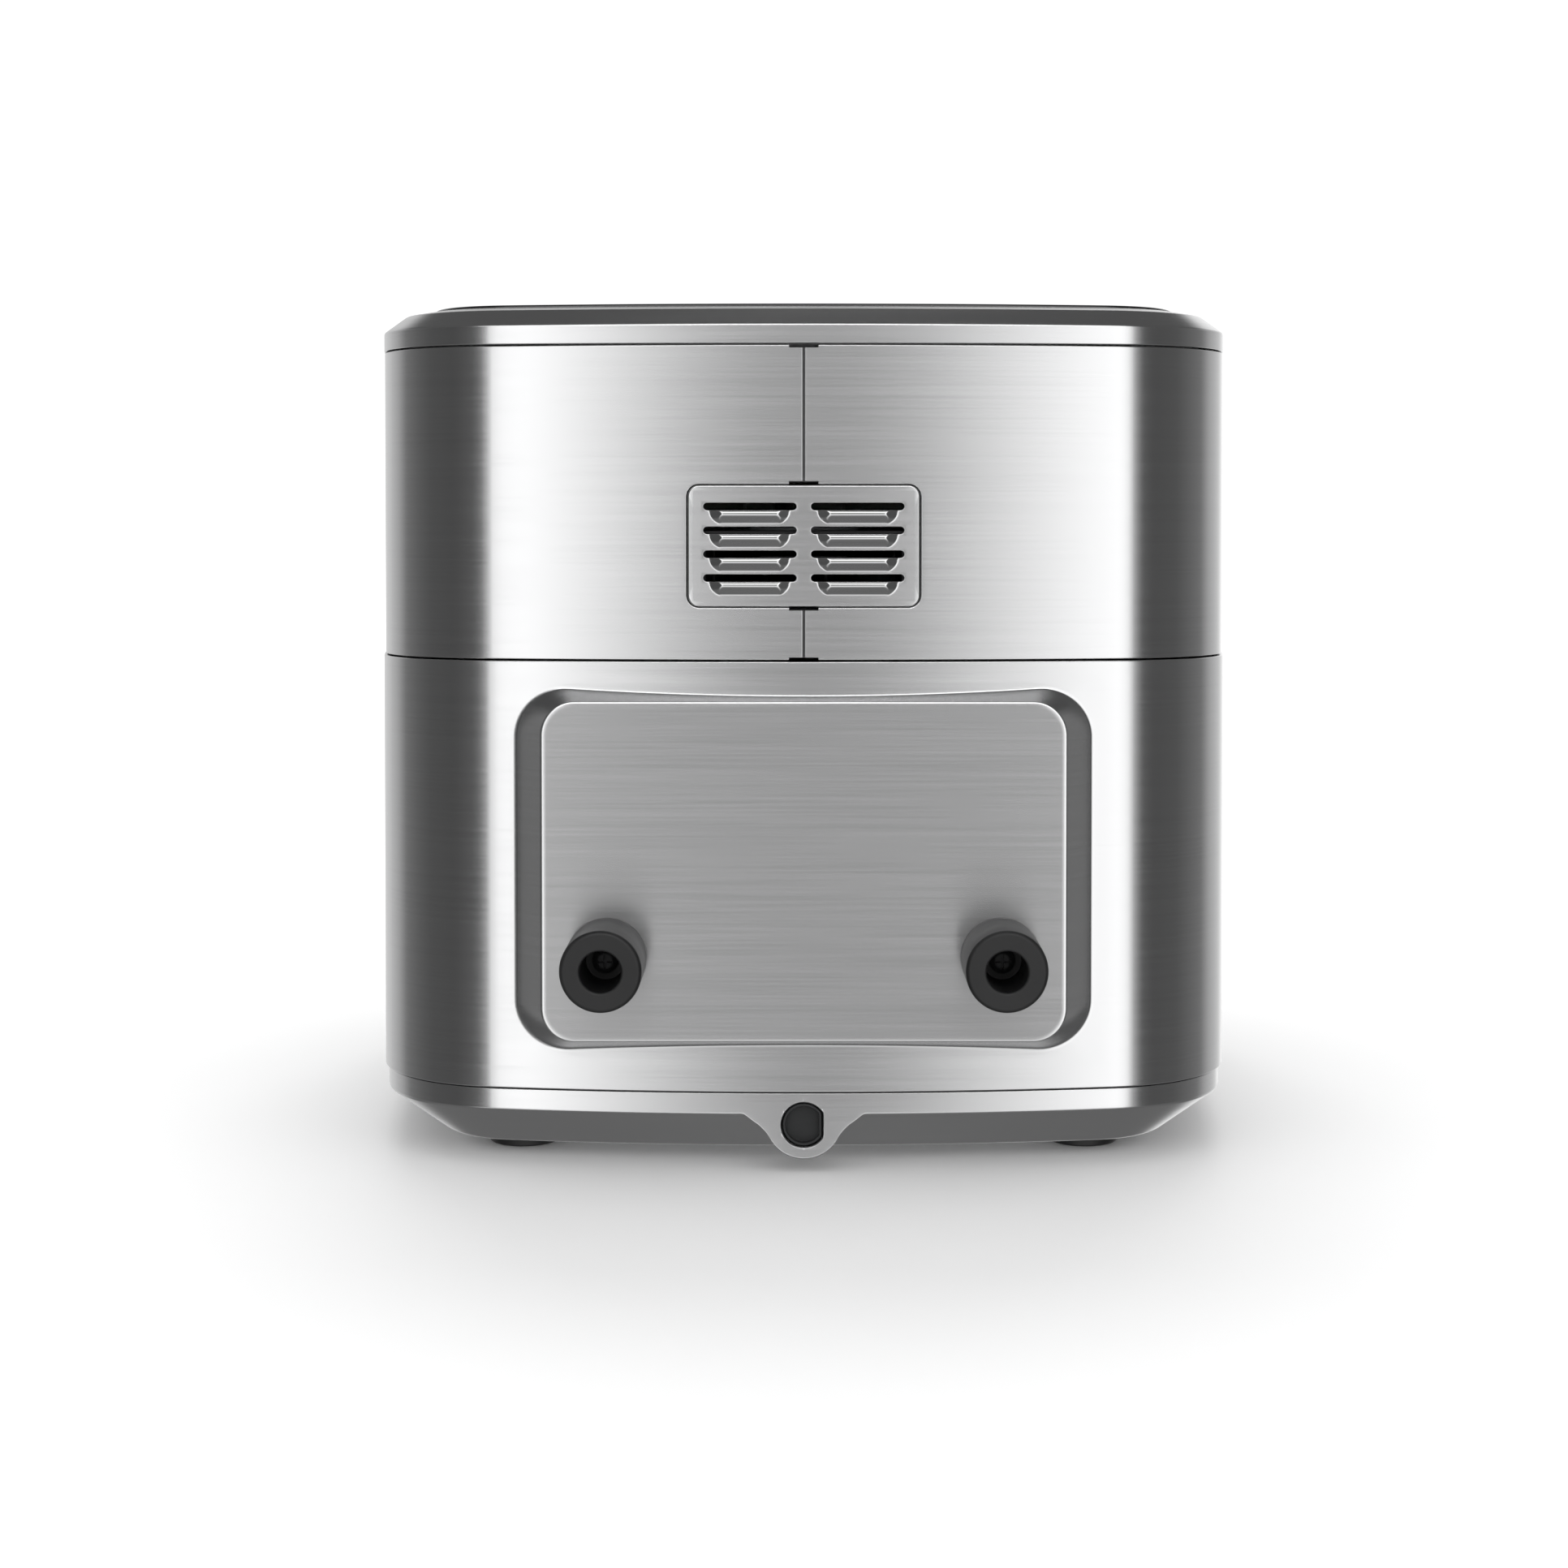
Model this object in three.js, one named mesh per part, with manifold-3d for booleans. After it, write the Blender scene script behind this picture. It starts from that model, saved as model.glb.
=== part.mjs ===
// Countertop air fryer with a drawer: rounded-square steel body, rear stand-offs, fan-driven hot air.
// Millimetres, +Z up. The front (drawer and handle) faces -Y, the rear (vent, cord inlet) faces +Y.
// Left and right are those of a person facing the front, so right is +X.
import * as THREE from 'three';
import { mergeVertices } from 'three/addons/utils/BufferGeometryUtils.js';
import Module from 'manifold-3d';

const wasm = await Module();
wasm.setup();

// ---- Driving dimensions -------------------------------------------------------------------------
const GAP = 0.3; // clearance between pieces that touch in the real object

// Plan of the body: a square with bowed sides and tangent round corners.
const HALF_WIDTH = 155;
const CORNER_R = 50;
const CORNER_CENTRE = 97.5;
const BOW_CENTRE = 535; // distance of a side's arc centre beyond the plan centre
const BOW_R = Math.hypot(CORNER_CENTRE, BOW_CENTRE + CORNER_CENTRE) + CORNER_R;
const BOW_ANGLE = Math.atan2(CORNER_CENTRE, BOW_CENTRE + CORNER_CENTRE);
const SIDE_STEPS = 4;
const CORNER_STEPS = 6;

// The bounding box, handle and stand-offs included, is centred on the origin by this shift.
const ORIGIN_SHIFT_Y = 8;

// Levels of the body, from the table upwards.
const BASE_BOTTOM = 4;
const BASE_EDGE = 19.6;
const BASE_SEAM = 27;
const MIDDLE_SEAM = 171;
const RIM_SEAM = 276;
const RIM_EDGE = 282.6;
const SHOULDER_TOP = 288.2;
const CHAMFER_TOP = 289.8;
const PANEL_TOP = 290.8;
const SEAM_GAP = 0.5;

// How far each shell lies inside the plan outline.
const LOWER_INSET = 0;
const UPPER_INSET = 0.6;
const RIM_INSET = 0.4;
const BASE_INSET = 1.2;
const BASE_BOTTOM_INSET = 22;
const SHOULDER_INSET = 8;
const CHAMFER_INSET = 17;
const WALL = 2;

// Raised pad at the rear of the lower shell, and the stand-offs on it.
const PAD_FACE_Y = 158.6;
const PAD_HALF = 86.9;
const PAD_LOW = 45;
const PAD_HIGH = 157.5;
const PAD_CORNER_R = 11;
const PAD_DEPTH = 12.6;
const PAD_SIDE_SLOPE = 0.87;
const PAD_END_SLOPE = 0.5;
const SPACER_X = 65.2;
const SPACER_Z = 73;
const SPACER_R = 13.3;
const SPACER_HOLE_R = 6.65;
const SPACER_LENGTH = 29;
const SPACER_HOLE_DEPTH = 24;
const SPACER_SCREW_R = 1.9;

// Exhaust grille at the rear of the upper shell.
const GRILLE_HALF = 38.6;
const GRILLE_LOW = 189;
const GRILLE_HIGH = 229.3;
const GRILLE_CORNER_R = 3.7;
const LOUVRE_X = 17.9;
const LOUVRE_HALF = 15.4;
const LOUVRE_HEIGHT = 2.4;
const LOUVRE_TOP = 223.4;
const LOUVRE_PITCH = 7.9;
const LOUVRE_ROWS = 4;
const GRILLE_INSET = 0.4;
const HOOD_PROUD = 1.7;
const SEAM_SLIT_HALF = 0.5;
const SEAM_NOTCH_HALF = 4.9;
const SEAM_NOTCH_HEIGHT = 1;

// Cord inlet in a lug under the rear edge of the base.
const INLET_Z = 16;
const INLET_R = 7.1;
const INLET_FLAT = 6;
const GLAND_WALL = 1;
const LUG_R = 12.9;
const LUG_Z = 17.4;

// Feet.
const FOOT_X = 98;
const FOOT_Y = 105;
const FOOT_R = 12.5;
const FOOT_PEG_R = 4;

// Cooking chamber and drawer.
const BAY_HALF = 120.2;
const BAY_LOW = 32.5;
const BAY_HIGH = 160.2;
const BAY_CORNER_R = 10.7;
const FRONT_PROUD = 1.5;
const FRONT_BACK_Y = -141;
const LINER_HALF = 121.5;
const LINER_FRONT_Y = -137;
const LINER_REAR_Y = 112;
const LINER_LOW = 33;
const LINER_HIGH = 168;
const LINER_WALL = 1.5;
const LINER_CORNER_R = 24;
const PAN_HALF = 116;
const PAN_FRONT_Y = FRONT_BACK_Y + GAP;
const PAN_REAR_Y = 104;
const PAN_LOW = 37;
const PAN_HIGH = 118;
const PAN_WALL = 2;
const PAN_CORNER_R = 22;
const TRAY_LOW = 50;
const TRAY_THICK = 1.6;
const TRAY_LIP = 6;
const TRAY_MARGIN = 5;

// Drawer handle: a bar on two posts.
const HANDLE_FRONT_Y = -203.6;
const HANDLE_HALF = 72;
const HANDLE_POST = 14;
const HANDLE_BAR_DEPTH = 16.4;
const HANDLE_LOW = 90;
const HANDLE_HIGH = 112;
const HANDLE_CORNER_R = 9;
const TRIM_HALF = 58;
const TRIM_THICK = 2;
const TRIM_MARGIN = 5;
const HANDLE_SCREW_X = HANDLE_HALF - HANDLE_POST / 2;

// Front fascia and its two knobs.
const FASCIA_HALF = 80;
const FASCIA_LOW = 186;
const FASCIA_HIGH = 262;
const FASCIA_CORNER_R = 10;
const FASCIA_PROUD = 0.8;
const FASCIA_THICK = 3.6;
const KNOB_X = 38;
const KNOB_Z = 220;
const KNOB_SKIRT_R = 21;
const KNOB_R = 16.5;
const KNOB_HEIGHT = 19.5;
const KNOB_SHAFT_R = 3;
const LENS_X = 9;
const LENS_Z = 250;
const LENS_R = 2.6;

// Hot-air unit above the chamber, on one vertical axis.
const FAN_Y = -12;
const HOT_HOLE_R = 92;
const HOUSING_R = 98;
const HOUSING_TOP = 215;
const ELEMENT_RING_R = 72;
const ELEMENT_TUBE_R = 3.25;
const ELEMENT_Z = 178.5;
const ELEMENT_LEG_X = 18;
const SHAFT_R = 3;
const DUCT_HALF = 34;
const DUCT_LOW = 191;
const DUCT_HIGH = 214;

// Drawer switch behind the chamber.
const SWITCH_X = 90;
const SWITCH_Z = 60;
const PLUNGER_R = 2.3;

// ---- Materials ----------------------------------------------------------------------------------
const MATERIALS = {
  brushed_steel: [0xb9babb, 0.32, 1.0],
  dark_panel: [0x17181a, 0.35, 0.0],
  matte_black: [0x1d1e20, 0.6, 0.0],
  rubber: [0x2b2b2c, 0.85, 0.0],
  gland_grey: [0x333436, 0.6, 0.0],
  nonstick: [0x26272a, 0.5, 0.3],
  galvanised: [0x9ea1a4, 0.5, 0.9],
  bright_steel: [0xc9cacc, 0.25, 1.0],
  blackened_steel: [0x2a2a2b, 0.45, 0.6],
  element_alloy: [0x55565a, 0.45, 0.8],
  cast_alloy: [0xa5a7aa, 0.4, 0.9],
  white_plastic: [0xd9d8d2, 0.5, 0.0],
  silicone: [0x3a3b3d, 0.75, 0.0],
  amber_lens: [0xd98a2b, 0.2, 0.0],
};

const root = new THREE.Group();
root.name = 'air_fryer';
const assembly = new THREE.Group();
assembly.name = 'body_frame';
assembly.position.y = ORIGIN_SHIFT_Y;
root.add(assembly);

/** Adds one sub-part to the assembly. */
function addPart(name, solid, finish) {
  const { vertProperties, triVerts } = solid.getMesh();
  const geometry = new THREE.BufferGeometry();
  geometry.setAttribute('position', new THREE.BufferAttribute(new Float32Array(vertProperties), 3));
  geometry.setIndex(new THREE.BufferAttribute(new Uint32Array(triVerts), 1));
  geometry.computeVertexNormals();
  const [color, roughness, metalness] = MATERIALS[finish];
  const material = new THREE.MeshStandardMaterial({ name: finish, color, roughness, metalness });
  const mesh = new THREE.Mesh(geometry, material);
  mesh.name = name;
  assembly.add(mesh);
}

// ---- Solids -------------------------------------------------------------------------------------
/** A three.js geometry as a solid for cutting and joining. */
function solidOf(geometry) {
  geometry.deleteAttribute('normal');
  geometry.deleteAttribute('uv');
  const welded = mergeVertices(geometry, 1e-4);
  const vertProperties = new Float32Array(welded.attributes.position.array);
  const triVerts = new Uint32Array(welded.index.array);
  return new wasm.Manifold(new wasm.Mesh({ numProp: 3, vertProperties, triVerts }));
}

const join = (first, ...others) => others.reduce((sum, next) => sum.add(next), first);
const cut = (first, ...others) => others.reduce((sum, next) => sum.subtract(next), first);
const common = (first, ...others) => others.reduce((sum, next) => sum.intersect(next), first);

/** Closed solid through equal-length rings of points, each ring anticlockwise about the sweep direction. */
function skin(rings) {
  const count = rings[0].length;
  const positions = rings.flat().flatMap((point) => point);
  const index = [];
  for (let level = 0; level + 1 < rings.length; level += 1) {
    for (let i = 0; i < count; i += 1) {
      const a = level * count + i;
      const b = level * count + ((i + 1) % count);
      index.push(a, b, b + count, a, b + count, a + count);
    }
  }
  const last = (rings.length - 1) * count;
  for (let i = 1; i + 1 < count; i += 1) {
    index.push(0, i + 1, i, last, last + i, last + i + 1);
  }
  const geometry = new THREE.BufferGeometry();
  geometry.setAttribute('position', new THREE.Float32BufferAttribute(positions, 3));
  geometry.setIndex(index);
  return solidOf(geometry);
}

/** Plan outline at the given inset, as [x, y] pairs, anticlockwise seen from above. */
function planOutline(inset) {
  const points = [];
  for (let side = 0; side < 4; side += 1) {
    const facing = (side * Math.PI) / 2;
    for (let i = 0; i <= SIDE_STEPS; i += 1) {
      const angle = facing - BOW_ANGLE + (2 * BOW_ANGLE * i) / SIDE_STEPS;
      points.push([
        -BOW_CENTRE * Math.cos(facing) + (BOW_R - inset) * Math.cos(angle),
        -BOW_CENTRE * Math.sin(facing) + (BOW_R - inset) * Math.sin(angle),
      ]);
    }
    const cornerX = CORNER_CENTRE * (Math.cos(facing) - Math.sin(facing));
    const cornerY = CORNER_CENTRE * (Math.cos(facing) + Math.sin(facing));
    const span = Math.PI / 2 - 2 * BOW_ANGLE;
    for (let i = 1; i < CORNER_STEPS; i += 1) {
      const angle = facing + BOW_ANGLE + (span * i) / CORNER_STEPS;
      points.push([
        cornerX + (CORNER_R - inset) * Math.cos(angle),
        cornerY + (CORNER_R - inset) * Math.sin(angle),
      ]);
    }
  }
  return points;
}

/** Solid with the body's plan, through [inset, z] levels from low to high. */
const planSolid = (levels) => skin(
  levels.map(([inset, z]) => planOutline(inset).map(([x, y]) => [x, y, z])),
);

/** Wall with the body's plan, between two insets. */
const planWall = (outer, inner, low, high) => cut(
  planSolid([[outer, low], [outer, high]]),
  planSolid([[inner, low - 1], [inner, high + 1]]),
);

/** How far back from y = HALF_WIDTH the outline lies at this x, on a bowed side. */
const bowDrop = (x) => BOW_R - Math.sqrt(BOW_R * BOW_R - x * x);

function block([x0, y0, z0], [x1, y1, z1]) {
  const geometry = new THREE.BoxGeometry(x1 - x0, y1 - y0, z1 - z0);
  geometry.translate((x0 + x1) / 2, (y0 + y1) / 2, (z0 + z1) / 2);
  return solidOf(geometry);
}

/** Rounded rectangle as [u, v] pairs, anticlockwise. */
function roundedRect(u0, v0, u1, v1, radius, steps = 3) {
  const corners = [
    [u1 - radius, v0 + radius, -Math.PI / 2],
    [u1 - radius, v1 - radius, 0],
    [u0 + radius, v1 - radius, Math.PI / 2],
    [u0 + radius, v0 + radius, Math.PI],
  ];
  return corners.flatMap(([u, v, start]) => Array.from({ length: steps + 1 }, (_, i) => {
    const angle = start + (Math.PI / 2) * (i / steps);
    return [u + radius * Math.cos(angle), v + radius * Math.sin(angle)];
  }));
}

/** Outline in x and z, extruded along Y. */
function prismY(outline, y0, y1) {
  const shape = new THREE.Shape(outline.map(([x, z]) => new THREE.Vector2(x, z)));
  const geometry = new THREE.ExtrudeGeometry(shape, { depth: y1 - y0, bevelEnabled: false });
  geometry.rotateX(Math.PI / 2);
  geometry.translate(0, y1, 0);
  return solidOf(geometry);
}

/** Outline in x and y, extruded along Z. */
function prismZ(outline, z0, z1) {
  const shape = new THREE.Shape(outline.map(([x, y]) => new THREE.Vector2(x, y)));
  const geometry = new THREE.ExtrudeGeometry(shape, { depth: z1 - z0, bevelEnabled: false });
  geometry.translate(0, 0, z0);
  return solidOf(geometry);
}

/** Round bar along Y. */
function rodY(x, z, radius, y0, y1, segments = 16) {
  const geometry = new THREE.CylinderGeometry(radius, radius, y1 - y0, segments);
  geometry.translate(x, (y0 + y1) / 2, z);
  return solidOf(geometry);
}

/** Round bar along Z. */
function rodZ(x, y, radius, z0, z1, segments = 16) {
  const geometry = new THREE.CylinderGeometry(radius, radius, z1 - z0, segments);
  geometry.rotateX(Math.PI / 2);
  geometry.translate(x, y, (z0 + z1) / 2);
  return solidOf(geometry);
}

/** Turned piece from a closed [radius, height] profile, before it is placed: its axis is +Y. */
function turned(profile, segments) {
  const closed = [...profile, profile[0]];
  const onAxis = profile[0][0] === 0 && profile[profile.length - 1][0] === 0;
  const points = (onAxis ? profile : closed).map(([r, h]) => new THREE.Vector2(r, h));
  return new THREE.LatheGeometry(points, segments);
}

/** Turned piece with its axis along Y. */
function turnedY(profile, x, z, segments = 20) {
  const geometry = turned(profile, segments);
  geometry.translate(x, 0, z);
  return solidOf(geometry);
}

/** Turned piece with its axis along Z. */
function turnedZ(profile, x, y, segments = 24) {
  const geometry = turned(profile, segments);
  geometry.rotateX(Math.PI / 2);
  geometry.translate(x, y, 0);
  return solidOf(geometry);
}

// ---- Base, feet and cord inlet ------------------------------------------------------------------
/** D-shaped outline round the inlet's axis, its flat on the -X side. */
function inletOutline(radius, flat) {
  const half = Math.acos(flat / radius);
  const steps = 14;
  return Array.from({ length: steps + 1 }, (_, i) => {
    const angle = -Math.PI + half + ((2 * Math.PI - 2 * half) * i) / steps;
    return [radius * Math.cos(angle), INLET_Z + radius * Math.sin(angle)];
  });
}

/** Lug outline: a round chin that flares into the edge of the base. */
function lugOutline() {
  const flare = [[11.7, 12], [13, 13.6], [15, 15.6], [17.3, 17.2], [20, BASE_EDGE], [20.5, 23]];
  const chinSteps = 8;
  const start = Math.asin((LUG_Z - 12) / LUG_R);
  const chin = [];
  for (let i = 1; i < chinSteps; i += 1) {
    const angle = start + ((Math.PI - 2 * start) * i) / chinSteps;
    chin.push([-LUG_R * Math.cos(angle), LUG_Z - LUG_R * Math.sin(angle)]);
  }
  const left = [...flare].reverse().map(([x, z]) => [-x, z]);
  return [...left, ...chin, ...flare];
}

const baseTop = BASE_SEAM - SEAM_GAP / 2;
const lug = common(
  prismY(lugOutline(), 128, HALF_WIDTH + 5),
  planSolid([[BASE_INSET, 0], [BASE_INSET, BASE_SEAM]]),
);
const lugPocket = join(
  rodY(0, LUG_Z, LUG_R - 2, 128, 150.3, 20),
  block([2 - LUG_R, 128, LUG_Z], [LUG_R - 2, 150.3, BASE_SEAM]),
);
const footSpots = [[1, -1], [-1, -1], [1, 1], [-1, 1]].map(([sx, sy]) => [sx * FOOT_X, sy * FOOT_Y]);
const basePan = cut(
  join(
    cut(
      planSolid([[BASE_BOTTOM_INSET, BASE_BOTTOM], [BASE_INSET, BASE_EDGE], [BASE_INSET, baseTop]]),
      planSolid([
        [BASE_BOTTOM_INSET + 2, BASE_BOTTOM + WALL],
        [BASE_INSET + WALL, BASE_EDGE + 1],
        [BASE_INSET + WALL, BASE_SEAM + 1],
      ]),
    ),
    lug,
  ),
  lugPocket,
  prismY(inletOutline(INLET_R + GAP, INLET_FLAT + GAP), 140, 160),
  ...footSpots.map(([x, y]) => rodZ(x, y, FOOT_PEG_R + GAP, 0, BASE_BOTTOM + WALL + 1, 12)),
);
addPart('base_pan', basePan, 'brushed_steel');

// The bush is closed by a web, which is cut through where a cord is fitted.
const glandFront = 153;
const glandWeb = 150.5;
const gland = cut(
  join(
    prismY(inletOutline(INLET_R, INLET_FLAT), 147, glandFront),
    prismY(inletOutline(INLET_R + 1.6, INLET_FLAT + 1.6), 147, 150),
  ),
  prismY(inletOutline(INLET_R - GLAND_WALL, INLET_FLAT - GLAND_WALL), glandWeb, 160),
);
addPart('cord_gland', gland, 'gland_grey');
addPart(
  'cord_clamp',
  cut(
    block([-14, 118, BASE_BOTTOM + WALL + GAP], [14, 126, 25.5]),
    block([-7, 110, 9], [7, 130, 23]),
  ),
  'matte_black',
);

const footNames = ['foot_front_right', 'foot_front_left', 'foot_rear_right', 'foot_rear_left'];
const footPegTop = BASE_BOTTOM + WALL + 3;
const footProfile = [
  [0, 0], [FOOT_R - 1, 0], [FOOT_R, 1], [FOOT_R, BASE_BOTTOM - GAP],
  [FOOT_PEG_R, BASE_BOTTOM - GAP], [FOOT_PEG_R, footPegTop], [0, footPegTop],
];
footSpots.forEach(([x, y], i) => {
  addPart(footNames[i], turnedZ(footProfile, x, y, 16), 'rubber');
});

// ---- Lower shell with its rear pad --------------------------------------------------------------
/** Ring of the rear pad's outline, `depth` behind its face. */
function padRing(depth) {
  const side = PAD_HALF + PAD_SIDE_SLOPE * depth;
  const end = PAD_END_SLOPE * depth;
  const radius = PAD_CORNER_R + (PAD_SIDE_SLOPE + PAD_END_SLOPE) * 0.45 * depth;
  const outline = roundedRect(-side, PAD_LOW - end, side, PAD_HIGH + end, radius, 4);
  return outline.map(([x, z]) => [x, PAD_FACE_Y - depth, z]);
}

const drawerBay = (clear) => roundedRect(
  -BAY_HALF + clear, BAY_LOW + clear, BAY_HALF - clear, BAY_HIGH - clear, BAY_CORNER_R - clear, 4,
);
const spacerSides = [-1, 1];
const lowerShell = cut(
  join(
    planWall(LOWER_INSET, LOWER_INSET + WALL, BASE_SEAM + SEAM_GAP / 2, MIDDLE_SEAM - SEAM_GAP / 2),
    cut(
      skin([padRing(0), padRing(PAD_DEPTH)]),
      planSolid([[LOWER_INSET + WALL / 2, 0], [LOWER_INSET + WALL / 2, MIDDLE_SEAM + 10]]),
    ),
  ),
  prismY(drawerBay(0), -170, -120),
  ...spacerSides.map((s) => rodY(s * SPACER_X, SPACER_Z, SPACER_SCREW_R + GAP, 140, 165, 12)),
);
addPart('lower_shell', lowerShell, 'brushed_steel');

// ---- Rear stand-offs and their screws -----------------------------------------------------------
const spacerBack = PAD_FACE_Y + GAP;
const spacerTip = PAD_FACE_Y + SPACER_LENGTH;
const spacerFloor = spacerTip - SPACER_HOLE_DEPTH;
const spacerProfile = [
  [SPACER_SCREW_R + GAP, spacerBack], [SPACER_R - 0.4, spacerBack], [SPACER_R, spacerBack + 0.4],
  [SPACER_R, spacerTip - 1.4], [SPACER_R - 1.4, spacerTip], [SPACER_HOLE_R + 0.7, spacerTip],
  [SPACER_HOLE_R, spacerTip - 0.7], [SPACER_HOLE_R, spacerFloor], [SPACER_SCREW_R + GAP, spacerFloor],
];
const screwProfile = [
  [0, 148], [SPACER_SCREW_R, 148], [SPACER_SCREW_R, spacerFloor + GAP], [4.2, spacerFloor + GAP],
  [4.2, spacerFloor + 2], [3.2, spacerFloor + 2.9], [1.2, spacerFloor + 3.1], [0, spacerFloor + 1.6],
];
spacerSides.forEach((s) => {
  const side = s > 0 ? 'right' : 'left';
  addPart(`rear_spacer_${side}`, turnedY(spacerProfile, s * SPACER_X, SPACER_Z, 24), 'rubber');
  addPart(`spacer_screw_${side}`, turnedY(screwProfile, s * SPACER_X, SPACER_Z, 12), 'blackened_steel');
});

// ---- Upper shell, rear grille and seam ----------------------------------------------------------
const upperLow = MIDDLE_SEAM + SEAM_GAP / 2;
const upperHigh = RIM_SEAM - SEAM_GAP / 2;
const grilleOutline = (grow) => roundedRect(
  -GRILLE_HALF - grow, GRILLE_LOW - grow, GRILLE_HALF + grow, GRILLE_HIGH + grow, GRILLE_CORNER_R + grow,
);
const fasciaOutline = (grow) => roundedRect(
  -FASCIA_HALF - grow, FASCIA_LOW - grow, FASCIA_HALF + grow, FASCIA_HIGH + grow, FASCIA_CORNER_R + grow,
);
const rearNotch = (low) => block(
  [-SEAM_NOTCH_HALF, 140, low], [SEAM_NOTCH_HALF, 160, low + SEAM_NOTCH_HEIGHT],
);
const upperShell = cut(
  planWall(UPPER_INSET, UPPER_INSET + WALL, upperLow, upperHigh),
  prismY(grilleOutline(GAP), 140, 160),
  prismY(fasciaOutline(GAP), -160, -140),
  block([-SEAM_SLIT_HALF, 140, upperLow - 1], [SEAM_SLIT_HALF, 160, upperHigh + 1]),
  rearNotch(upperLow),
  rearNotch(GRILLE_LOW - GAP - SEAM_NOTCH_HEIGHT),
  rearNotch(GRILLE_HIGH + GAP),
  rearNotch(upperHigh - SEAM_NOTCH_HEIGHT),
);
addPart('upper_shell', upperShell, 'brushed_steel');

const stripOuter = UPPER_INSET + WALL + GAP;
const seamStrip = (low, high) => common(
  planWall(stripOuter, stripOuter + 1.2, low, high),
  block([-8, 140, low], [8, 160, high]),
);
addPart('seam_strip_lower', seamStrip(upperLow + 1, GRILLE_LOW - 1), 'matte_black');
addPart('seam_strip_upper', seamStrip(GRILLE_HIGH + 1, upperHigh - 1), 'matte_black');

/** Round-ended slot, wider than it is high, centred at x with its top edge at z. */
function louvreSlot(x, top) {
  const radius = LOUVRE_HEIGHT / 2;
  return roundedRect(x - LOUVRE_HALF, top - LOUVRE_HEIGHT, x + LOUVRE_HALF, top, radius - 0.01, 3);
}

/** Scoop that stands out under a louvre slot, widest at its top lip. */
function louvreHood(x, top) {
  const skinY = HALF_WIDTH - GRILLE_INSET - bowDrop(x);
  const proud = skinY + HOOD_PROUD;
  const back = [[8.3, -4.5], [13.35, -0.8], [13.35, 0], [-13.35, 0], [-13.35, -0.8], [-8.3, -4.5]];
  const lip = [[10.5, -1.6], [12.6, -0.7], [12.6, 0], [-12.6, 0], [-12.6, -0.7], [-10.5, -1.6]];
  return skin([
    lip.map(([u, v]) => [x + u, proud, top + v]),
    back.map(([u, v]) => [x + u, skinY - 0.8, top + v]),
  ]);
}

const louvreSpots = [-1, 1].flatMap((s) => Array.from(
  { length: LOUVRE_ROWS },
  (_, row) => [s * LOUVRE_X, LOUVRE_TOP - row * LOUVRE_PITCH],
));
const grille = cut(
  join(
    common(
      planWall(GRILLE_INSET, GRILLE_INSET + 1.6, GRILLE_LOW - 5, GRILLE_HIGH + 5),
      prismY(grilleOutline(0), 140, 160),
    ),
    ...louvreSpots.map(([x, top]) => louvreHood(x, top - LOUVRE_HEIGHT + 0.02)),
  ),
  ...louvreSpots.map(([x, top]) => prismY(louvreSlot(x, top), 140, 160)),
);
addPart('vent_grille', grille, 'brushed_steel');

// ---- Top rim and panel --------------------------------------------------------------------------
const rimLow = RIM_SEAM + SEAM_GAP / 2;
const panelInset = CHAMFER_INSET + 1;
const topRim = cut(
  planSolid([
    [RIM_INSET, rimLow], [RIM_INSET, RIM_EDGE], [SHOULDER_INSET, SHOULDER_TOP], [CHAMFER_INSET, CHAMFER_TOP],
  ]),
  planSolid([[RIM_INSET + WALL, rimLow - 1], [RIM_INSET + WALL, RIM_EDGE - 1], [15, 287], [15, 287.2]]),
  planSolid([[panelInset, 280], [panelInset, 295]]),
);
addPart('top_rim', topRim, 'brushed_steel');
const panelEdge = panelInset + GAP;
addPart(
  'top_panel',
  planSolid([[panelEdge, 286.6], [panelEdge, PANEL_TOP - 0.7], [panelEdge + 0.9, PANEL_TOP]]),
  'dark_panel',
);

// ---- Control fascia, knobs and what they turn ---------------------------------------------------
const fasciaOuter = UPPER_INSET - FASCIA_PROUD;
const knobAngle = Math.asin(KNOB_X / (BOW_R - fasciaOuter));
const knobSkinY = -(BOW_R - fasciaOuter) * Math.cos(knobAngle) + BOW_CENTRE;

/** Places a solid made with its axis along +Y, base at y = 0, square to the fascia at a knob. */
function atKnob(side, geometry) {
  geometry.rotateZ(Math.PI + side * knobAngle);
  geometry.translate(side * KNOB_X, knobSkinY, KNOB_Z);
  return solidOf(geometry);
}

const knobProfile = [
  [KNOB_SHAFT_R + 0.05, 0.5], [KNOB_SKIRT_R, 0.5], [KNOB_SKIRT_R, 2.6], [KNOB_R + 0.9, 4.2],
  [KNOB_R - 0.9, KNOB_HEIGHT - 1.4], [KNOB_R - 2.6, KNOB_HEIGHT], [0, KNOB_HEIGHT], [0, 14],
  [KNOB_SHAFT_R + 0.05, 14],
];
const bored = (radius, low, high) => new THREE.CylinderGeometry(radius, radius, high - low, 16)
  .translate(0, (low + high) / 2, 0);
const lensSpots = [-LENS_X, LENS_X];
const fascia = cut(
  common(
    planWall(fasciaOuter, fasciaOuter + FASCIA_THICK, FASCIA_LOW - 5, FASCIA_HIGH + 5),
    prismY(fasciaOutline(0), -160, -130),
  ),
  ...[-1, 1].map((s) => atKnob(s, bored(KNOB_SHAFT_R + GAP, -12, 6))),
  ...lensSpots.map((x) => rodY(x, LENS_Z, LENS_R + GAP, -165, -140)),
);
addPart('control_fascia', fascia, 'dark_panel');
lensSpots.forEach((x, i) => {
  const lens = rodY(x, LENS_Z, LENS_R, -HALF_WIDTH - 0.6, -HALF_WIDTH + 4, 14);
  addPart(['indicator_lens_power', 'indicator_lens_heat'][i], lens, 'amber_lens');
});

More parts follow.
